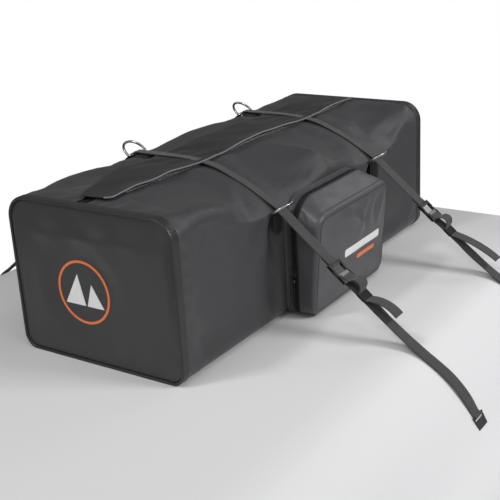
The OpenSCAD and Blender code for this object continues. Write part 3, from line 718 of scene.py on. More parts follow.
def build_end(side, name):
    """A slightly bulged panel, with soft pillows below its top edge where the load presses out."""
    lo, hi = node_box(f"end_panel_{name}")
    face = hi[0] if side > 0 else lo[0]
    rings = np.linspace(1, 0, 46) ** 0.9
    rim = end_outline(-4.2 * MM, OUTLINE_STEPS)
    centre = np.array([0, TOP * 0.47])
    yz = centre + (rim[None] - centre) * rings[:, None, None]
    y, z = yz[..., 0], yz[..., 1]
    inside = smooth((1 - rings[:, None]) / 0.35)
    bulge = 3.5 * MM * inside * (0.6 + 0.4 * ripple(yz, 260 * MM, 21))
    depth = TOP - z
    share = 1 if side < 0 else 0.5
    lean = smooth(depth / LEAN_DEPTH) - smooth((depth - LEAN_DEPTH) / (200 * MM))
    bulge = bulge + 8 * MM * lean * smooth((1 - rings[:, None]) / 0.08) * share
    for centre_y, width, swell in PILLOWS:
        below = depth - PILLOW_DEPTH
        pillow = bump(below, 24 * MM) * bump(y - centre_y * MM + 0.4 * below, width * MM)
        bulge = bulge + swell * MM * pillow * inside * share
    bulge = bulge + inside * ripple(yz, 70 * MM, 31 + int(side)) * 0.5 * MM
    if side < 0:
        from_badge = np.hypot(y - BADGE_CENTRE[1], z - BADGE_CENTRE[2]) - BADGE_R
        bulge = bulge * smooth((from_badge - 2 * MM) / (45 * MM))
    # the darker panel fabric is painted shade on the ends
    cloth(f"end_panel_{name}_cloth", np.stack([face + side * bulge, y, z], -1), "bag", "panel_fabric",
          END_PANEL_SHADED_FABRIC, f"end_panel_{name}", thick=1.4 * MM, offset=-side, loop_cols=True, flip=side < 0)


def build_band(side, name):
    """The welded seam band: wraps the end's edge, with fine ribs pressed across it."""
    steps = OUTLINE_STEPS * 4
    rib = 0.5 + 0.5 * np.cos(np.arange(steps) * 2 * math.pi / 4)
    outline = end_outline(0, steps)
    normal = unit(np.roll(outline, -1, 0) - np.roll(outline, 1, 0))
    normal = np.stack([normal[:, 1], -normal[:, 0]], -1)
    rows = []
    for edge, inwards, ribbed in BAND_SECTION:
        point = outline + normal * ((edge + 0.45 * ribbed * rib) * MM)[:, None]
        point[:, 1] = np.maximum(point[:, 1], 0)
        rows.append(at_x(side * (HALF_L - inwards * MM), point))
    band = sheet(f"seam_band_{name}", np.array(rows), loop_cols=True, flip=side > 0)
    finish_piece(band, "bag", "piping", BAND_FABRIC, f"end_piping_{name}")


def build_badge():
    dress("badge_ring", ORANGE, 0.3 * MM)
    dress("badge_peaks", WHITE, 0.3 * MM)


# ---- storm flap and main zipper

FLAP_LO, FLAP_HI = node_box("top_flap")
FLAP_HINGE = pivot("flap_hinge")
LIP_Y = node_box("flap_binding")[0][1] + 2 * MM
FLAP_TIP = 15 * MM


def flap_front(x):
    """The free edge wavers a little, and turns in at the rounded corner."""
    edge = LIP_Y + 1.6 * MM * np.sin(x / (41 * MM)) * smooth((strap_distance(x) - 15 * MM) / (60 * MM))
    inset = np.clip(FLAP_LO[0] + FLAP_TIP - x, 0, FLAP_TIP)
    return edge + FLAP_TIP - np.sqrt(FLAP_TIP**2 - inset**2)


def flap_back(x):
    """A slanting edge at the badge end, then a straight hem behind the hinge."""
    away = x - FLAP_LO[0]
    hem = FLAP_HINGE[1] + 7 * MM
    return np.interp(away, np.array([0, 12, 60, 150, 185]) * MM, [38 * MM, 45 * MM, 61 * MM, 87 * MM, hem])


def flap_height(x, y):
    """Lies on the crown, lifts along its free edge, and dips to its hem behind the hinge."""
    free = smooth((strap_distance(x) - 16 * MM) / (45 * MM))
    over = FLAP_LO[2] + 0.5 * MM + np.maximum(crown_lift(x), 0) * 0.9
    lip = bump(y - flap_front(x), 16 * MM) * free * (2.2 + 1.3 * np.sin(x / (33 * MM) + 1)) * MM
    soft = ripple(np.stack([x, y], -1), 85 * MM, 41) * 0.9 * MM * free
    near_straps = bump(strap_distance(x) - 42 * MM, 24 * MM)
    pucker = near_straps * np.sin(y / (6.5 * MM) + x / (21 * MM)) * 0.7 * MM
    hem = smooth((y - FLAP_HINGE[1] + 1 * MM) / (7 * MM))
    lying = TOP + crown_lift(x) + 1.0 * MM
    return mix(over + lip + soft + pucker, lying, hem)


def flap_points(x, share):
    y = mix(flap_front(x), flap_back(x), share)
    return np.stack([x, y, flap_height(x, y)], -1)


def on_flap(piece):
    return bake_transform(piece)


def build_flap():
    x = FLAP_LO[0] + 0.3 * MM + (FLAP_HI[0] - FLAP_LO[0]) * np.linspace(0, 1, 301) ** 1.15
    share = np.linspace(0, 1, 33)
    grid = flap_points(*np.meshgrid(x, share, indexing="ij"))
    # the flap's very dark fabric is painted shade for the top
    on_flap(cloth("storm_flap", grid, None, "flap_fabric", FLAP_SHADED_FABRIC, "top_flap", "flap_seam_strip",
                  offset=0.0))
    edge = flap_points(x, np.zeros_like(x))
    # The lip tube's light grey colour is a painted highlight along the rolled edge.
    lip = tube("flap_lip", edge + [0, 0, 0.2 * MM], 1.7 * MM, sides=10)
    on_flap(finish_piece(lip, None, "piping", LIP_HIGHLIGHT_FABRIC, "flap_binding"))
    for row, share_in in (("front", 0.055), ("back", 0.955)):
        inner = x[x > FLAP_LO[0] + 14 * MM]
        thread = flap_points(inner, np.full_like(inner, share_in)) + [0, 0, 0.75 * MM]
        on_flap(stitches(f"flap_stitches_{row}", resample(thread, 1200), None))


STITCH_LENGTH, STITCH_PITCH, STITCH_R = 3.2 * MM, 4.6 * MM, 0.42 * MM


def stitches(name, path, body):
    """A row of separate thread stitches lying along a path."""
    run = np.r_[0, np.cumsum(lengths(path))]
    verts, faces = [], []
    for start in np.arange(STITCH_PITCH / 2, run[-1] - STITCH_LENGTH, STITCH_PITCH):
        at = start + STITCH_LENGTH * np.array([0, 0.5, 1])
        points = np.stack([np.interp(at, run, path[:, k]) for k in range(3)], -1)
        points[1] += [0, 0, 0.15 * MM]
        along = unit(points[2] - points[0])
        side = unit(np.cross(along, [0.1, 0.2, 1.0]))
        up = np.cross(side, along)
        turn = np.arange(6)[:, None] * math.pi / 3
        first = len(verts)
        for point, share in zip(points, (0.55, 1.0, 0.55)):
            verts += list(point + STITCH_R * share * (side * np.cos(turn) + up * np.sin(turn)))
        for a in (first, first + 6):
            faces += [[a + q, a + (q + 1) % 6, a + (q + 1) % 6 + 6, a + q + 6] for q in range(6)]
        faces += [[first + q for q in range(5, -1, -1)], [first + 12 + q for q in range(6)]]
    return finish_piece(mesh_object(name, verts, faces), body, "cord", THREAD)


def coil(name, path, body, across, up, pitch, *stands_for):
    """A nylon coil along a path: loops that reach across and up."""
    path = resample(path, int(lengths(path).sum() / pitch) * 8)
    side = unit(np.cross(unit(np.gradient(path, axis=0)), up))
    lift = np.cross(side, unit(np.gradient(path, axis=0)))
    a = np.arange(len(path)) * 2 * math.pi / 8
    centre = path + across * np.cos(a)[:, None] * side + 0.9 * MM * np.sin(a)[:, None] * lift
    return finish_piece(tube(name, centre, 0.42 * MM, 5), body, "zipper_teeth", COIL, *stands_for)


def build_main_zipper():
    lo, hi = node_box("zipper_teeth")
    mid = (lo + hi) / 2
    ends = np.array([[lo[0] + 2 * MM, mid[1], mid[2]], [hi[0] - 2 * MM, mid[1], mid[2]]])
    width = (hi[1] - lo[1]) / 4
    for sign, name, stands_for in ((-1, "front", ()), (1, "back", ("zipper_teeth",))):
        path = ends + [0, sign * (width + 0.4 * MM), 0]
        coil(f"zipper_coil_{name}", path, "bag", 1.25 * MM, (0, 0, 1.0), 2.3 * MM, *stands_for)
    for node, material, bevel in (("zipper_tape_front", TAPE, 0.2), ("zipper_tape_back", TAPE, 0.2),
                                  ("zipper_end_stops", NICKEL, 0.2), ("flap_loop_strip", HOOK_LOOP, 0.2),
                                  ("flap_hook_strip", HOOK_LOOP, 0.2), ("main_slider", SLIDER_PAINT, 0.4),
                                  ("main_pull", SLIDER_PAINT, 0.3)):
        dress(node, material, bevel * MM)


# ---- rings, tabs and strap runs

RING_WIRE = 2.6 * MM


def build_ring(end, side):
    """A D-ring: a straight bar on its pivot, short sides and a round bow."""
    node = f"{end}_ring_{side}"
    at = ring_pivot(end, side)
    lo, hi = node_box(node)
    half = (hi[0] - lo[0]) / 2 - RING_WIRE
    bow_end = (lo + hi - 2 * at) * [0, 1, 1]
    reach = np.linalg.norm(bow_end)
    bow = bow_end / reach
    corner = 3 * MM
    local = np.vstack([line((-half + corner, 0), (half - corner, 0), 12),
                       arc((half - corner, corner), corner, -90, 0, 5)[1:],
                       arc((0, reach - half), half, 0, 180, 40),
                       arc((-half + corner, corner), corner, 180, 270, 5)[:-1]])
    path = at + local[:, :1] * X_AXIS + local[:, 1:] * bow
    ring = tube(f"{node}_wire", path, RING_WIRE, sides=18, closed=True)
    finish_piece(ring, node, "nickel", NICKEL, node)


def build_tab(end, side):
    """A folded tape that holds the ring's bar, on a stitched patch."""
    at = ring_pivot(end, side)
    wrap_r = RING_WIRE + 0.75 * MM
    if end == "front":
        face = -HALF_W - 1.6 * MM
        around = arc(at[1:], wrap_r, 200, -20, 14)
        path = np.vstack([[face - 0.8 * MM, at[2] - 40 * MM], [face - 0.8 * MM, at[2] - 8 * MM], around,
                          [face + 3.4 * MM, at[2] - 2.5 * MM]])
        patch_centre, patch_size = (at[0], face, at[2] - 27 * MM), (38 * MM, 1.3 * MM, 40 * MM)
    else:
        face = TOP - 0.2 * MM
        around = arc(at[1:], wrap_r, -100, 150, 14)[::-1]
        path = np.vstack([[at[1] - 34 * MM, face + 2.2 * MM], [at[1] - 9 * MM, face + 2.2 * MM], around,
                          [at[1] - 6 * MM, face + 1.0 * MM]])
        patch_centre, patch_size = (at[0], at[1] - 22 * MM, face + 0.9 * MM), (38 * MM, 34 * MM, 1.3 * MM)
    strip = ribbon(f"{end}_tab_{side}", at_x(at[0], path), 24 * MM, 1.1 * MM, step=1.2 * MM, wave=0)
    finish_piece(strip, "bag", "tab_fabric", TAB_FABRIC, f"{end}_ring_tabs")
    patch = join_boxes(f"{end}_patch_{side}", [(patch_centre, patch_size)], 0.5 * MM)
    finish_piece(patch, "bag", "tab_fabric", TAB_FABRIC)
    stitch_patch(f"{end}_patch_{side}_stitches", np.array(patch_centre), np.array(patch_size))


def stitch_patch(name, centre, size):
    """Thread round a patch's edge and across its middle."""
    thin = int(np.argmin(size))
    a, b = [k for k in range(3) if k != thin]
    half = size / 2 - 3 * MM
    out = np.zeros(3)
    out[thin] = (size[thin] / 2 + 0.1 * MM) * (-1 if thin == 1 else 1)
    corners = []
    for sa, sb in ((-1, -1), (1, -1), (1, 1), (-1, 1), (-1, -1), (1, 1)):
        corner = centre + out
        corner[a] += sa * half[a]
        corner[b] += sb * half[b]
        corners.append(corner)
    stitches(name, resample(np.array(corners), 200), "bag")


BACK_BEND = pivot("leg_back_left_lift")
FRONT_BEND = pivot("leg_front_left_lift")
WEB = 30 * MM
WEB_THICK = 1.7 * MM


def run_path(x):
    """From the back ring over the flap's lip, down the front shoulder to the front ring."""
    r = SHOULDER_R + WEB_THICK / 2 + 0.8 * MM
    centre = np.array([CROWN_Y, TOP - SHOULDER_R])
    lip = np.array([LIP_Y - 5 * MM, BACK_BEND[2]])
    angles = 90 + np.degrees(np.arcsin((CROWN_Y + np.array([112, 130, 148]) * MM) / r))
    touch = centre + r * np.stack([np.cos(np.radians(angles)), np.sin(np.radians(angles))], -1)
    path = np.vstack([BACK_BEND[1:], BACK_BEND[1:] - [4 * MM, 0], lip, touch, FRONT_BEND[1:]])
    return at_x(x, rounded(path, 3))


def build_run(side):
    lo, hi = node_box(f"strap_run_{side}")
    run = ribbon(f"strap_over_{side}", run_path(STRAP_X[side]), hi[0] - lo[0], WEB_THICK)
    finish_piece(run, f"strap_run_{side}", "webbing", WEBBING, f"strap_run_{side}")


# ---- strap legs

LEG = {  # slope at the ring, straight length, length on the roof, roof slope, slope at the door gap
    "front": (40, 330 * MM, 100 * MM, 33, 62),
    "back": (37.5, 532 * MM, 30 * MM, 34, 62),
}
EDGE_RADIUS = 192 * MM
BAR_LOOP = 3.0 * MM
RAIL_PARTS = ((0, 0, 48, 6.5), (14, 1.6, 17, 6.5), (-14, 1.2, 15, 5.8))  # along, off, length, height in mm
KEEPER_SECTION = ((-9.6, -0.5), (-9.6, 0.1), (-9, 0.4), (-4, 0.3), (0, 0.5), (4, 0.3), (9, 0.4), (9.6, 0.1),
                  (9.6, -0.5))  # along and outwards in mm
KEEPER_AT = 62 * MM
TAILS = {("front", "left"): (70 * MM, 46, -4), ("front", "right"): (112 * MM, 28, 6),
         ("back", "left"): (84 * MM, 42, 4), ("back", "right"): (84 * MM, 42, 4)}


class Leg:
    """Places points given as (along the leg, off the leg) for one strap leg."""

    def __init__(self, end, side):
        self.end, self.side = end, side
        self.x = STRAP_X[side]
        self.slope = math.radians(LEG[end][0])
        self.start = pivot(f"leg_{end}_{side}_lift")
        self.out = -1 if end == "front" else 1
        self.along = np.array([0, self.out * math.cos(self.slope), -math.sin(self.slope)])
        self.off = np.array([0, self.out * math.sin(self.slope), math.cos(self.slope)])
        lo, hi = node_box(f"buckle_{end}_{side}")
        self.buckle = float(((lo + hi) / 2 - self.start) @ self.along)
        self.name = f"{end}_{side}"
        self.body = f"leg_{self.name}"

    def place(self, points):
        """points: (along, off) or (across, along, off)."""
        points = np.asarray(points, float)
        axes = np.array([X_AXIS, self.along, self.off])
        return self.start + points @ axes[-points.shape[1]:]

    def walk(self):
        """Where the lower webbing leaves the straight line: over the roof, then down its edge."""
        slope, straight, roof, roof_slope, gap_slope = LEG[self.end]
        heading = [slope - roof_slope] + [slope - a for a in np.linspace(roof_slope, gap_slope, 9)[1:]]
        step = EDGE_RADIUS * math.radians(gap_slope - roof_slope) / 8
        points = [np.array([straight, 0.0])]
        for i, angle in enumerate(heading):
            size = roof if i == 0 else step
            a = math.radians(angle)
            points.append(points[-1] + size * np.array([math.cos(a), math.sin(a)]))
        return np.array(points)


def build_upper_webbing(leg):
    b = leg.buckle
    bar = b - 18 * MM
    around = arc((bar, 0), BAR_LOOP, 100, -150, 12)
    start = 0.0 if leg.end == "front" else 4.5 * MM
    path = np.vstack([[start, 0], [b * 0.5, -0.6 * MM], [bar - 10 * MM, 0.2 * MM], around,
                      [bar - 9 * MM, -1.9 * MM], [bar - 26 * MM, -2.2 * MM]])
    path = leg.place(rounded(path, 2))
    web = ribbon(f"upper_webbing_{leg.name}_cloth", path, WEB, WEB_THICK, step=1.6 * MM)
    finish_piece(web, leg.body, "webbing", WEBBING, f"upper_webbing_{leg.name}")


def build_lower_webbing(leg):
    b = leg.buckle
    bar, loop = b + 4 * MM, BAR_LOOP
    length, root_angle, end_angle = TAILS[leg.end, leg.side]
    clip = pivot(f"door_clip_{leg.name}_turn") - leg.start
    clip_uv = np.array([clip @ leg.along, clip @ leg.off])
    roof = leg.walk()
    low = np.vstack([[bar, -loop], [b + 28 * MM, -3.0 * MM], [b + 50 * MM, 0], roof])
    heading = unit(roof[-1] - roof[-2])
    side = np.array([-heading[1], heading[0]])
    turn = np.radians(np.arange(0, 250, 24))[:, None]
    eye = clip_uv + 3.0 * MM * (np.cos(turn) * side + np.sin(turn) * heading)
    low = rounded(np.vstack([low, eye]), 2)
    keeper_end = np.array([b + 72 * MM, 2.4 * MM])
    headings = np.radians(np.linspace(root_angle, end_angle, 9))
    free = keeper_end + np.cumsum(length / 9 * np.stack([np.cos(headings), np.sin(headings)], -1), axis=0)
    tail = np.vstack([[bar + 0.5 * MM, loop], [b + 18 * MM, 4.6 * MM], [b + 25 * MM, 6.0 * MM],
                      arc((b + 39 * MM, 7 * MM), 13 * MM, 160, 20, 8), [b + 53 * MM, 2.8 * MM],
                      keeper_end, free])
    around = arc((bar, 0), loop, 250, 100, 10)
    around[:, 0] = 2 * bar - around[:, 0]
    whole = leg.place(np.vstack([low[::-1], around[1:-1], rounded(tail, 2)]))
    web = ribbon(f"lower_webbing_{leg.name}_cloth", whole, WEB, WEB_THICK, step=1.5 * MM, wave=0.4 * MM)
    finish_piece(web, leg.body, "webbing", WEBBING, f"lower_webbing_{leg.name}")


def build_buckle(leg):
    """A ladder lock: black rails, a grey middle bar and a light ribbed lip."""
    b = leg.buckle
    lo, hi = node_box(f"buckle_{leg.name}")
    width = hi[0] - lo[0]
    length = RAIL_PARTS[0][2] * MM
    rail = (width - WEB - 2.4 * MM) / 2
    side = (width - rail) / 2

    def turn(points):
        return leg.place(points + [0, b, 0])

    rails = [((s * side, at * MM, off * MM), (rail, long * MM, high * MM))
             for at, off, long, high in RAIL_PARTS for s in (-1, 1)]
    bars = [((0, -length / 2 + 2.4 * MM, 2.2 * MM), (width - 1 * MM, 4.4 * MM, 4.2 * MM)),
            ((0, -18 * MM, 0), (width - rail, 3.6 * MM, 3.6 * MM))]
    middle = [((0, 4 * MM, 0), (width - rail, 3.6 * MM, 3.6 * MM)),
              ((0, 8 * MM, 3.4 * MM), (WEB - 3 * MM, 5.5 * MM, 2.4 * MM))]
    lip = [((0, 20 * MM, 1.2 * MM), (width - rail - 2 * MM, 7 * MM, 4.6 * MM))]
    lip += [((0, (17.6 + 2.0 * k) * MM, 3.6 * MM), (WEB + 3 * MM, 0.9 * MM, 1.0 * MM)) for k in range(3)]
    for part, boxes, bevel, material, stands_for in (
            ("frame", rails + bars, 1.1 * MM, BLACK_PLASTIC, [f"buckle_{leg.name}"]),
            ("bar", middle, 0.9 * MM, GREY_PLASTIC, []), ("lip", lip, 0.4 * MM, LIGHT_PLASTIC, [])):
        piece = join_boxes(f"buckle_{leg.name}_{part}", boxes, bevel, turn)
        finish_piece(piece, leg.body, "buckle_plastic", material, *stands_for)


def build_keeper(leg):
    """A band of elastic round the load side and the tail."""
    half, low, high, r = WEB / 2 + 1.0 * MM, -1.9 * MM, 4.5 * MM, 1.6 * MM
    loop = np.vstack([arc((u, v), r, a, a - 90, 5) for u, v, a in (
        (half - r, high - r, 90), (half - r, low + r, 0), (r - half, low + r, 270), (r - half, high - r, 180))])
    loop = resample(np.vstack([loop, loop[:1]]), 61)[:-1]
    rows = []
    for along, grow in KEEPER_SECTION:
        shape = loop * (1 + grow * MM / half) + [0, 0.3 * grow * MM]
        rows.append(leg.place(at_y(leg.buckle + KEEPER_AT + along * MM, shape)))
    band = sheet(f"keeper_{leg.name}_band", np.array(rows), loop_cols=True, flip=leg.end == "front")
    finish_piece(band, leg.body, "keeper_elastic", ELASTIC, f"keeper_{leg.name}")


def build_leg(end, side):
    leg = Leg(end, side)
    build_upper_webbing(leg)
    build_lower_webbing(leg)
    build_buckle(leg)
    build_keeper(leg)
    dress(f"door_clip_{leg.name}", VINYL, 0.5 * MM)


# ---- the zipped front pocket

POCKET_HINGE = pivot("pocket_cover_hinge")
ZIP_Y, SLIDER_Z = pivot("pocket_pull_swing")[1:]
PANEL_TOP = node_box("pocket_piping")[1][2] + 2 * MM
BASE_DEPTH, TOP_DEPTH = 58 * MM, 78 * MM
POCKET_STEPS = 240
POCKET_MID = (POCKET_LO[0] + POCKET_HI[0]) / 2
COVER_EDGE, ZIP_HALF, ZIP_GAP = 11 * MM, 7.3 * MM, 0.9 * MM


def pocket_loop(depth, edge, count=POCKET_STEPS):
    """The pocket's outline as [x, z]: depth 0 at the bag, 1 at the front; edge shrinks it."""
    top_r = max(mix(62 * MM, 30 * MM, depth) - edge, 4 * MM)
    base_r = max(mix(20 * MM, 26 * MM, depth) - edge, 4 * MM)
    return round_box(POCKET_LO[0] + edge, POCKET_HI[0] - edge, POCKET_LO[2] + edge,
                     mix(POCKET_HI[2], PANEL_TOP, depth) - edge, base_r, top_r, 10, count)


def pocket_front(z):
    rise = np.clip((z - POCKET_LO[2]) / (PANEL_TOP - POCKET_LO[2]), 0, 1.05)
    return -HALF_W - mix(BASE_DEPTH, TOP_DEPTH, rise)


def fold(x, z, start, end, width):
    """A soft ridge along the line from start to end, fading at both ends."""
    start, end = np.array(start) * MM, np.array(end) * MM
    along, length = unit(end - start), np.linalg.norm(end - start)
    run = (x - start[0]) * along[0] + (z - start[1]) * along[1]
    off = (x - start[0]) * -along[1] + (z - start[1]) * along[0]
    return bump(off, width * MM) * bump(run - length / 2, length * 0.62)


def panel_dents(x, z):
    """Creases in the upper half of the front panel, and a slight belly."""
    belly = 3.0 * MM * smooth(1 - abs(x - 7 * MM) / (150 * MM)) * smooth((z - 10 * MM) / (60 * MM))
    crease = 6.5 * fold(x, z, (-42, 204), (26, 158), 11) - 7.5 * fold(x, z, (-22, 214), (38, 172), 10)
    crease += 5.5 * fold(x, z, (34, 148), (48, 196), 11) - 4.0 * fold(x, z, (58, 148), (74, 198), 13)
    corner = 5.0 * fold(x, z, (122, 150), (136, 200), 10) - 5.0 * fold(x, z, (102, 150), (114, 198), 12)
    return belly + (crease + corner) * MM + ripple(np.stack([x, z], -1), 110 * MM, 51) * 0.9 * MM


def pocket_point(loop, depth):
    return at_y(mix(ZIP_Y - ZIP_HALF, pocket_front(loop[:, 1]), depth), loop)


def off_base(middle):
    return (middle[:, 2] > POCKET_LO[2] + 3.5 * MM) | (middle[:, 1] < POCKET_HINGE[1] + 3 * MM)


def build_pocket_cover():
    rows = []
    for depth in np.linspace(0, 1, 14):
        point = pocket_point(pocket_loop(depth, 0), mix(0, 1 - COVER_EDGE / (60 * MM), depth))
        side = ripple(point, 60 * MM, 52) * 1.1 * MM * math.sin(math.pi * depth)
        away = unit((point - [POCKET_MID, 0, 110 * MM]) * [1, 0, 1])
        rows.append(point + away * side[:, None])
    for angle in np.radians(np.linspace(12, 90, 8)):
        loop = pocket_loop(1, COVER_EDGE * (1 - math.cos(angle)))
        start = pocket_point(loop, 1 - COVER_EDGE / (60 * MM))
        start[:, 1] = mix(start[:, 1], pocket_front(loop[:, 1]), math.sin(angle))
        rows.append(start)
    rim = pocket_loop(1, COVER_EDGE)
    centre = np.array([POCKET_MID, 108 * MM])
    for size in np.linspace(1, 0, 40)[1:]:
        loop = centre + (rim - centre) * size
        dents = panel_dents(loop[:, 0], loop[:, 1]) * smooth((1 - size) / 0.22)
        rows.append(at_y(pocket_front(loop[:, 1]) - dents, loop))
    cloth("pocket_cover_cloth", rows, "pocket_cover", "pocket_fabric", POCKET_FABRIC, "pocket_cover",
          loop_cols=True, keep=off_base)
    build_panel_seam()


def build_panel_seam():
    """The turned seam that frames the front panel."""
    loop = pocket_loop(1, 8.5 * MM, 480)
    path = at_y(pocket_front(loop[:, 1]) - 0.6 * MM, loop)
    seam = tube("pocket_panel_seam", path, 1.25 * MM, sides=8, closed=True)
    finish_piece(seam, "pocket_cover", "piping", BAND_FABRIC, "pocket_piping")


def build_pocket_rim():
    rows = []
    for y, edge in ((-HALF_W + 1.5 * MM, -3.0), (-HALF_W - 0.6 * MM, -2.2), (-HALF_W - 2.5 * MM, -0.2),
                    (-HALF_W - 8 * MM, 0.5), (ZIP_Y + 8.4 * MM, 0.3), (ZIP_Y + 7.2 * MM, 0.1)):
        loop = pocket_loop(0, edge * MM)
        rows.append(at_y(y, np.maximum(loop, [-1, 2 * MM])))
    cloth("pocket_rim_cloth", rows, "bag", "pocket_fabric", FABRIC, "pocket_rim", loop_cols=True)
    x = np.linspace(POCKET_LO[0] + 16 * MM, POCKET_HI[0] - 16 * MM, 60)
    y = np.linspace(-HALF_W, POCKET_HINGE[1] + 3 * MM, 14)
    gx, gy = np.meshgrid(x, y, indexing="ij")
    gz = POCKET_LO[2] + 1.2 * MM + ripple(np.stack([gx, gy], -1), 60 * MM, 53) * 0.5 * MM
    cloth("pocket_base_cloth", np.stack([gx, gy, gz], -1), "bag", "pocket_fabric", FABRIC, offset=0)


def above_base(middle):
    return middle[:, 2] > POCKET_LO[2] + 2.5 * MM


def zip_band(name, y0, y1, body, node):
    """Half of the zipper band round the pocket, with its coil along the parting line."""
    rows = [at_y(y, pocket_loop(0, -0.3 * MM)) for y in np.linspace(y0, y1, 6)]
    cloth(f"{name}_band", rows, body, "zipper_tape", TAPE, node, thick=1.2 * MM, loop_cols=True,
          keep=above_base)
    loop = pocket_loop(0, -1.2 * MM, 1600)
    inner = y1 if abs(y1 - ZIP_Y) < abs(y0 - ZIP_Y) else y0
    start = int(np.argmin(loop[:, 1] + 10 * (loop[:, 0] > 0)))
    loop = np.roll(loop, -start, axis=0)
    loop = loop[loop[:, 1] > node_box(node)[0][2] + 2 * MM]
    gap = np.argmax(lengths(loop))
    if lengths(loop)[gap] > 20 * MM:
        loop = np.roll(loop, -(gap + 1), axis=0)
    coil(f"{name}_coil", at_y(mix(inner, ZIP_Y, 0.1), loop), body, 0.55 * MM, (0, 1.0, 0), 2.6 * MM)


def build_pocket_zipper():
    zip_band("pocket_cover_zip", ZIP_Y - ZIP_HALF, ZIP_Y - ZIP_GAP, "pocket_cover", "pocket_cover_tape")
    zip_band("pocket_fixed_zip", ZIP_Y + ZIP_GAP, ZIP_Y + ZIP_HALF, "bag", "pocket_fixed_tape")
    dress("pocket_slider", SLIDER_PAINT, 0.4 * MM)


def lathe(name, profile, centre, axis, sides=28):
    """A turned shape: profile as [along, radius] round an axis."""
    axis = unit(np.array(axis, float))
    side = unit(np.cross(axis, [0.3, 1.0, 0.2]))
    other = np.cross(axis, side)
    a = np.linspace(0, 2 * math.pi, sides, endpoint=False)
    ring = np.cos(a)[:, None] * side + np.sin(a)[:, None] * other
    profile = np.array(profile)
    grid = centre + profile[:, :1, None] * axis + profile[:, 1:, None] * ring[None]
    return sheet(name, grid, loop_cols=True)


CORD_STEPS = 60
BAR_PROUD = 1.7 * MM


def build_pocket_pull():
    lo, hi = node_box("pocket_pull")
    centre = np.array([(lo[0] + hi[0]) / 2, (lo[1] + hi[1]) / 2, SLIDER_Z - 15 * MM])
    turn = np.radians(np.linspace(-88, 88, 15))
    r = (hi[1] - lo[1]) / 2
    half = (hi[0] - lo[0]) / 2
    profile = np.column_stack([half * np.sin(turn), r * np.cos(turn) ** 0.6])
    bead = lathe("pocket_pull_bead", profile, centre, X_AXIS)
    finish_piece(bead, "pocket_pull", "buckle_plastic", SLIDER_PAINT, "pocket_pull")
    wire = np.array([[-3.2, -1.2], [-3.4, -4], [-2.4, -9], [2.4, -9], [3.4, -4], [3.2, -1.2], [0, 0.2]])
    wire = at_x(0, wire * MM) + pivot("pocket_pull_swing")
    loop = rounded(np.vstack([wire, wire[:1]]), 3)
    loop_wire = tube("pocket_pull_loop", loop, 0.75 * MM, sides=10)
    finish_piece(loop_wire, "pocket_pull", "slider_metal", SLIDER_PAINT)
    heights = (centre[2] - r * 0.8, mix(centre[2], lo[2], 0.45), mix(centre[2], lo[2], 0.75), lo[2] + 0.5 * MM)
    sway = np.array([[0, -0.6], [0.4, 0], [-0.6, 0.8], [0, 0]]) * MM
    cord = resample(rounded(np.column_stack([centre[:2] + sway, heights]), 3), CORD_STEPS)
    step = np.arange(CORD_STEPS)
    twist = 1 + 0.09 * np.cos(step * 1.9)
    swell = np.where(step > CORD_STEPS - 8, 1.35, 1.0)
    string = tube("pocket_pull_cord", cord, 1.45 * MM * twist * swell, sides=12)
    finish_piece(string, "pocket_pull", "cord", CORD)


def build_pocket_bars():
    for node, slot, material in (("pocket_white_bar", "badge_white", WHITE),
                                 ("pocket_orange_bar", "badge_orange", ORANGE)):
        lo, hi = node_box(node)
        x = np.linspace(lo[0], hi[0], 60)
        height = hi[2] - lo[2]
        r = min(3.2 * MM, height / 2)
        end = np.minimum(np.minimum(x - lo[0], hi[0] - x), r)
        inset = np.where(end < r, r - np.sqrt(np.maximum(r**2 - (r - end) ** 2, 0)), 0)[:, None]
        z = lo[2] + inset + (height - 2 * inset) * np.linspace(0, 1, 12)
        gx = x[:, None] + 0 * z
        y = pocket_front(z) - panel_dents(gx, z) - BAR_PROUD
        cloth(f"{node}_film", np.stack([gx, y, z], -1), "pocket_cover", slot, material, node,
              thick=0.5 * MM, offset=0)


# ---- the roof it stands on

def roof_height(y):
    """Flat under the bag, then falling away to the door gap on both sides."""
    away = np.where(y < 0, -y, y - 60 * MM)
    return np.interp(away, np.array([0, 440, 489, 535, 570, 600, 630, 660, 720, 4000]) * MM,
                     np.array([0, 0, -7, -36, -69, -109, -151, -170, -178, -178]) * MM)


def build_stage():
    spans = ((-4, -0.75, 30), (-0.74, -0.42, 90), (-0.4, 0.47, 30), (0.48, 0.66, 60))
    y = np.concatenate([np.linspace(*span) for span in spans])
    z = roof_height(y)
    for _ in range(40):
        z[1:-1] = z[1:-1] / 2 + (z[:-2] + z[2:]) / 4
    x = np.concatenate([[-5], np.linspace(-2, 0.7, 40)])
    drop = -25 * MM * smooth((x - 0.45) / 0.25)
    gx, gy = np.meshgrid(x, y, indexing="ij")
    grid = np.stack([gx, gy, z[None] + drop[:, None]], -1)
    floor = sheet("stage_floor", grid - [0, 0, 0.3 * MM])
    n = Nodes("stage_grey", 0.55)
    n.set(n.shader, "Base Color", (0.76, 0.76, 0.77, 1))
    floor.data.materials.append(n.material)


def light(name, place, target, energy, size, size_y):
    data = bpy.data.lights.new(name, "AREA")
    data.shape = "RECTANGLE"
    data.energy, data.size, data.size_y = energy, size, size_y
    obj = bpy.data.objects.new(name, data)
    obj.location = place
    obj.rotation_euler = (Vector(target) - Vector(place)).to_track_quat("-Z", "Y").to_euler()
    bpy.context.scene.collection.objects.link(obj)


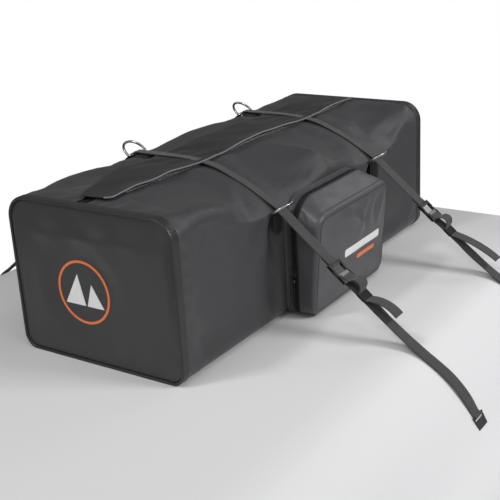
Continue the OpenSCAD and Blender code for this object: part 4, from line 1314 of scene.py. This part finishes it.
BACKDROP = 1.0
SKY_DIM, SKY_BRIGHT = 0.04, 0.52
LIGHTS = {  # place, target, watts, width, height
    "key": ((-0.9, -0.6, 2.6), (0, 0, 0.2), 10, 1.8, 1.2),
    "front": ((0.4, -2.5, 1.8), (0.1, -0.1, 0.2), 42, 0.9, 0.6),
    "side": ((-1.7, 0.7, 2.7), (-0.45, 0, 0.2), 22, 0.4, 0.4),
    "sheen": ((1.6, -0.7, 1.3), (0, -0.1, 0.25), 4, 1.0, 0.6),
    "end": ((-2.3, 0.45, 1.2), (-0.49, 0, 0.25), 6, 0.8, 0.5),
}


def build_world():
    """A white backdrop for the camera; a sky that is bright on its side and dim beyond the bag."""
    world = bpy.data.worlds.new("studio")
    bpy.context.scene.world = world
    world.use_nodes = True
    tree = world.node_tree
    background = tree.nodes["Background"]
    place = tree.nodes.new("ShaderNodeTexCoord")
    facing = tree.nodes.new("ShaderNodeVectorMath")
    facing.operation = "DOT_PRODUCT"
    facing.inputs[1].default_value = (-0.78, -0.6, -0.15)
    tree.links.new(place.outputs["Generated"], facing.inputs[0])
    glow = tree.nodes.new("ShaderNodeMapRange")
    for socket, value in (("From Min", -0.6), ("From Max", 0.9), ("To Min", SKY_DIM), ("To Max", SKY_BRIGHT)):
        glow.inputs[socket].default_value = value
    tree.links.new(facing.outputs["Value"], glow.inputs["Value"])
    rays = tree.nodes.new("ShaderNodeLightPath")
    pick = tree.nodes.new("ShaderNodeMix")
    pick.inputs[3].default_value = BACKDROP
    tree.links.new(rays.outputs["Is Camera Ray"], pick.inputs[0])
    tree.links.new(glow.outputs["Result"], pick.inputs[2])
    tree.links.new(pick.outputs[0], background.inputs["Strength"])
    background.inputs["Color"].default_value = (1, 1, 1, 1)


def build_lights():
    bpy.context.scene.view_settings.view_transform = "Standard"
    build_world()
    for name, numbers in LIGHTS.items():
        light(name, *numbers)


CAMERA_LENS, CAMERA_PLACE = 71.64, (-1.689, -1.1788, 0.816)


def build_camera():
    data = bpy.data.cameras.new("photo_view")
    data.lens, data.sensor_width, data.clip_end = CAMERA_LENS, 36, 30
    obj = bpy.data.objects.new("photo_view", data)
    right, up = (0.55175, -0.83219, -0.05508), (0.31507, 0.14683, 0.93764)
    turn = Matrix((right, up, (-0.7722, -0.5347, 0.34321))).transposed().to_4x4()
    obj.matrix_world = Matrix.Translation(CAMERA_PLACE) @ turn
    bpy.context.scene.collection.objects.link(obj)
    bpy.context.scene.camera = obj


# ---- build it all

build_wrap()
for end_side, end_name in ((-1, "left"), (1, "right")):
    build_end(end_side, end_name)
    build_band(end_side, end_name)
build_badge()
build_flap()
build_main_zipper()
for strap_side in ("left", "right"):
    for strap_end in ("front", "back"):
        build_ring(strap_end, strap_side)
        build_tab(strap_end, strap_side)
        build_leg(strap_end, strap_side)
    build_run(strap_side)
build_pocket_rim()
build_pocket_cover()
build_pocket_zipper()
build_pocket_pull()
build_pocket_bars()
build_stage()
build_lights()
build_camera()
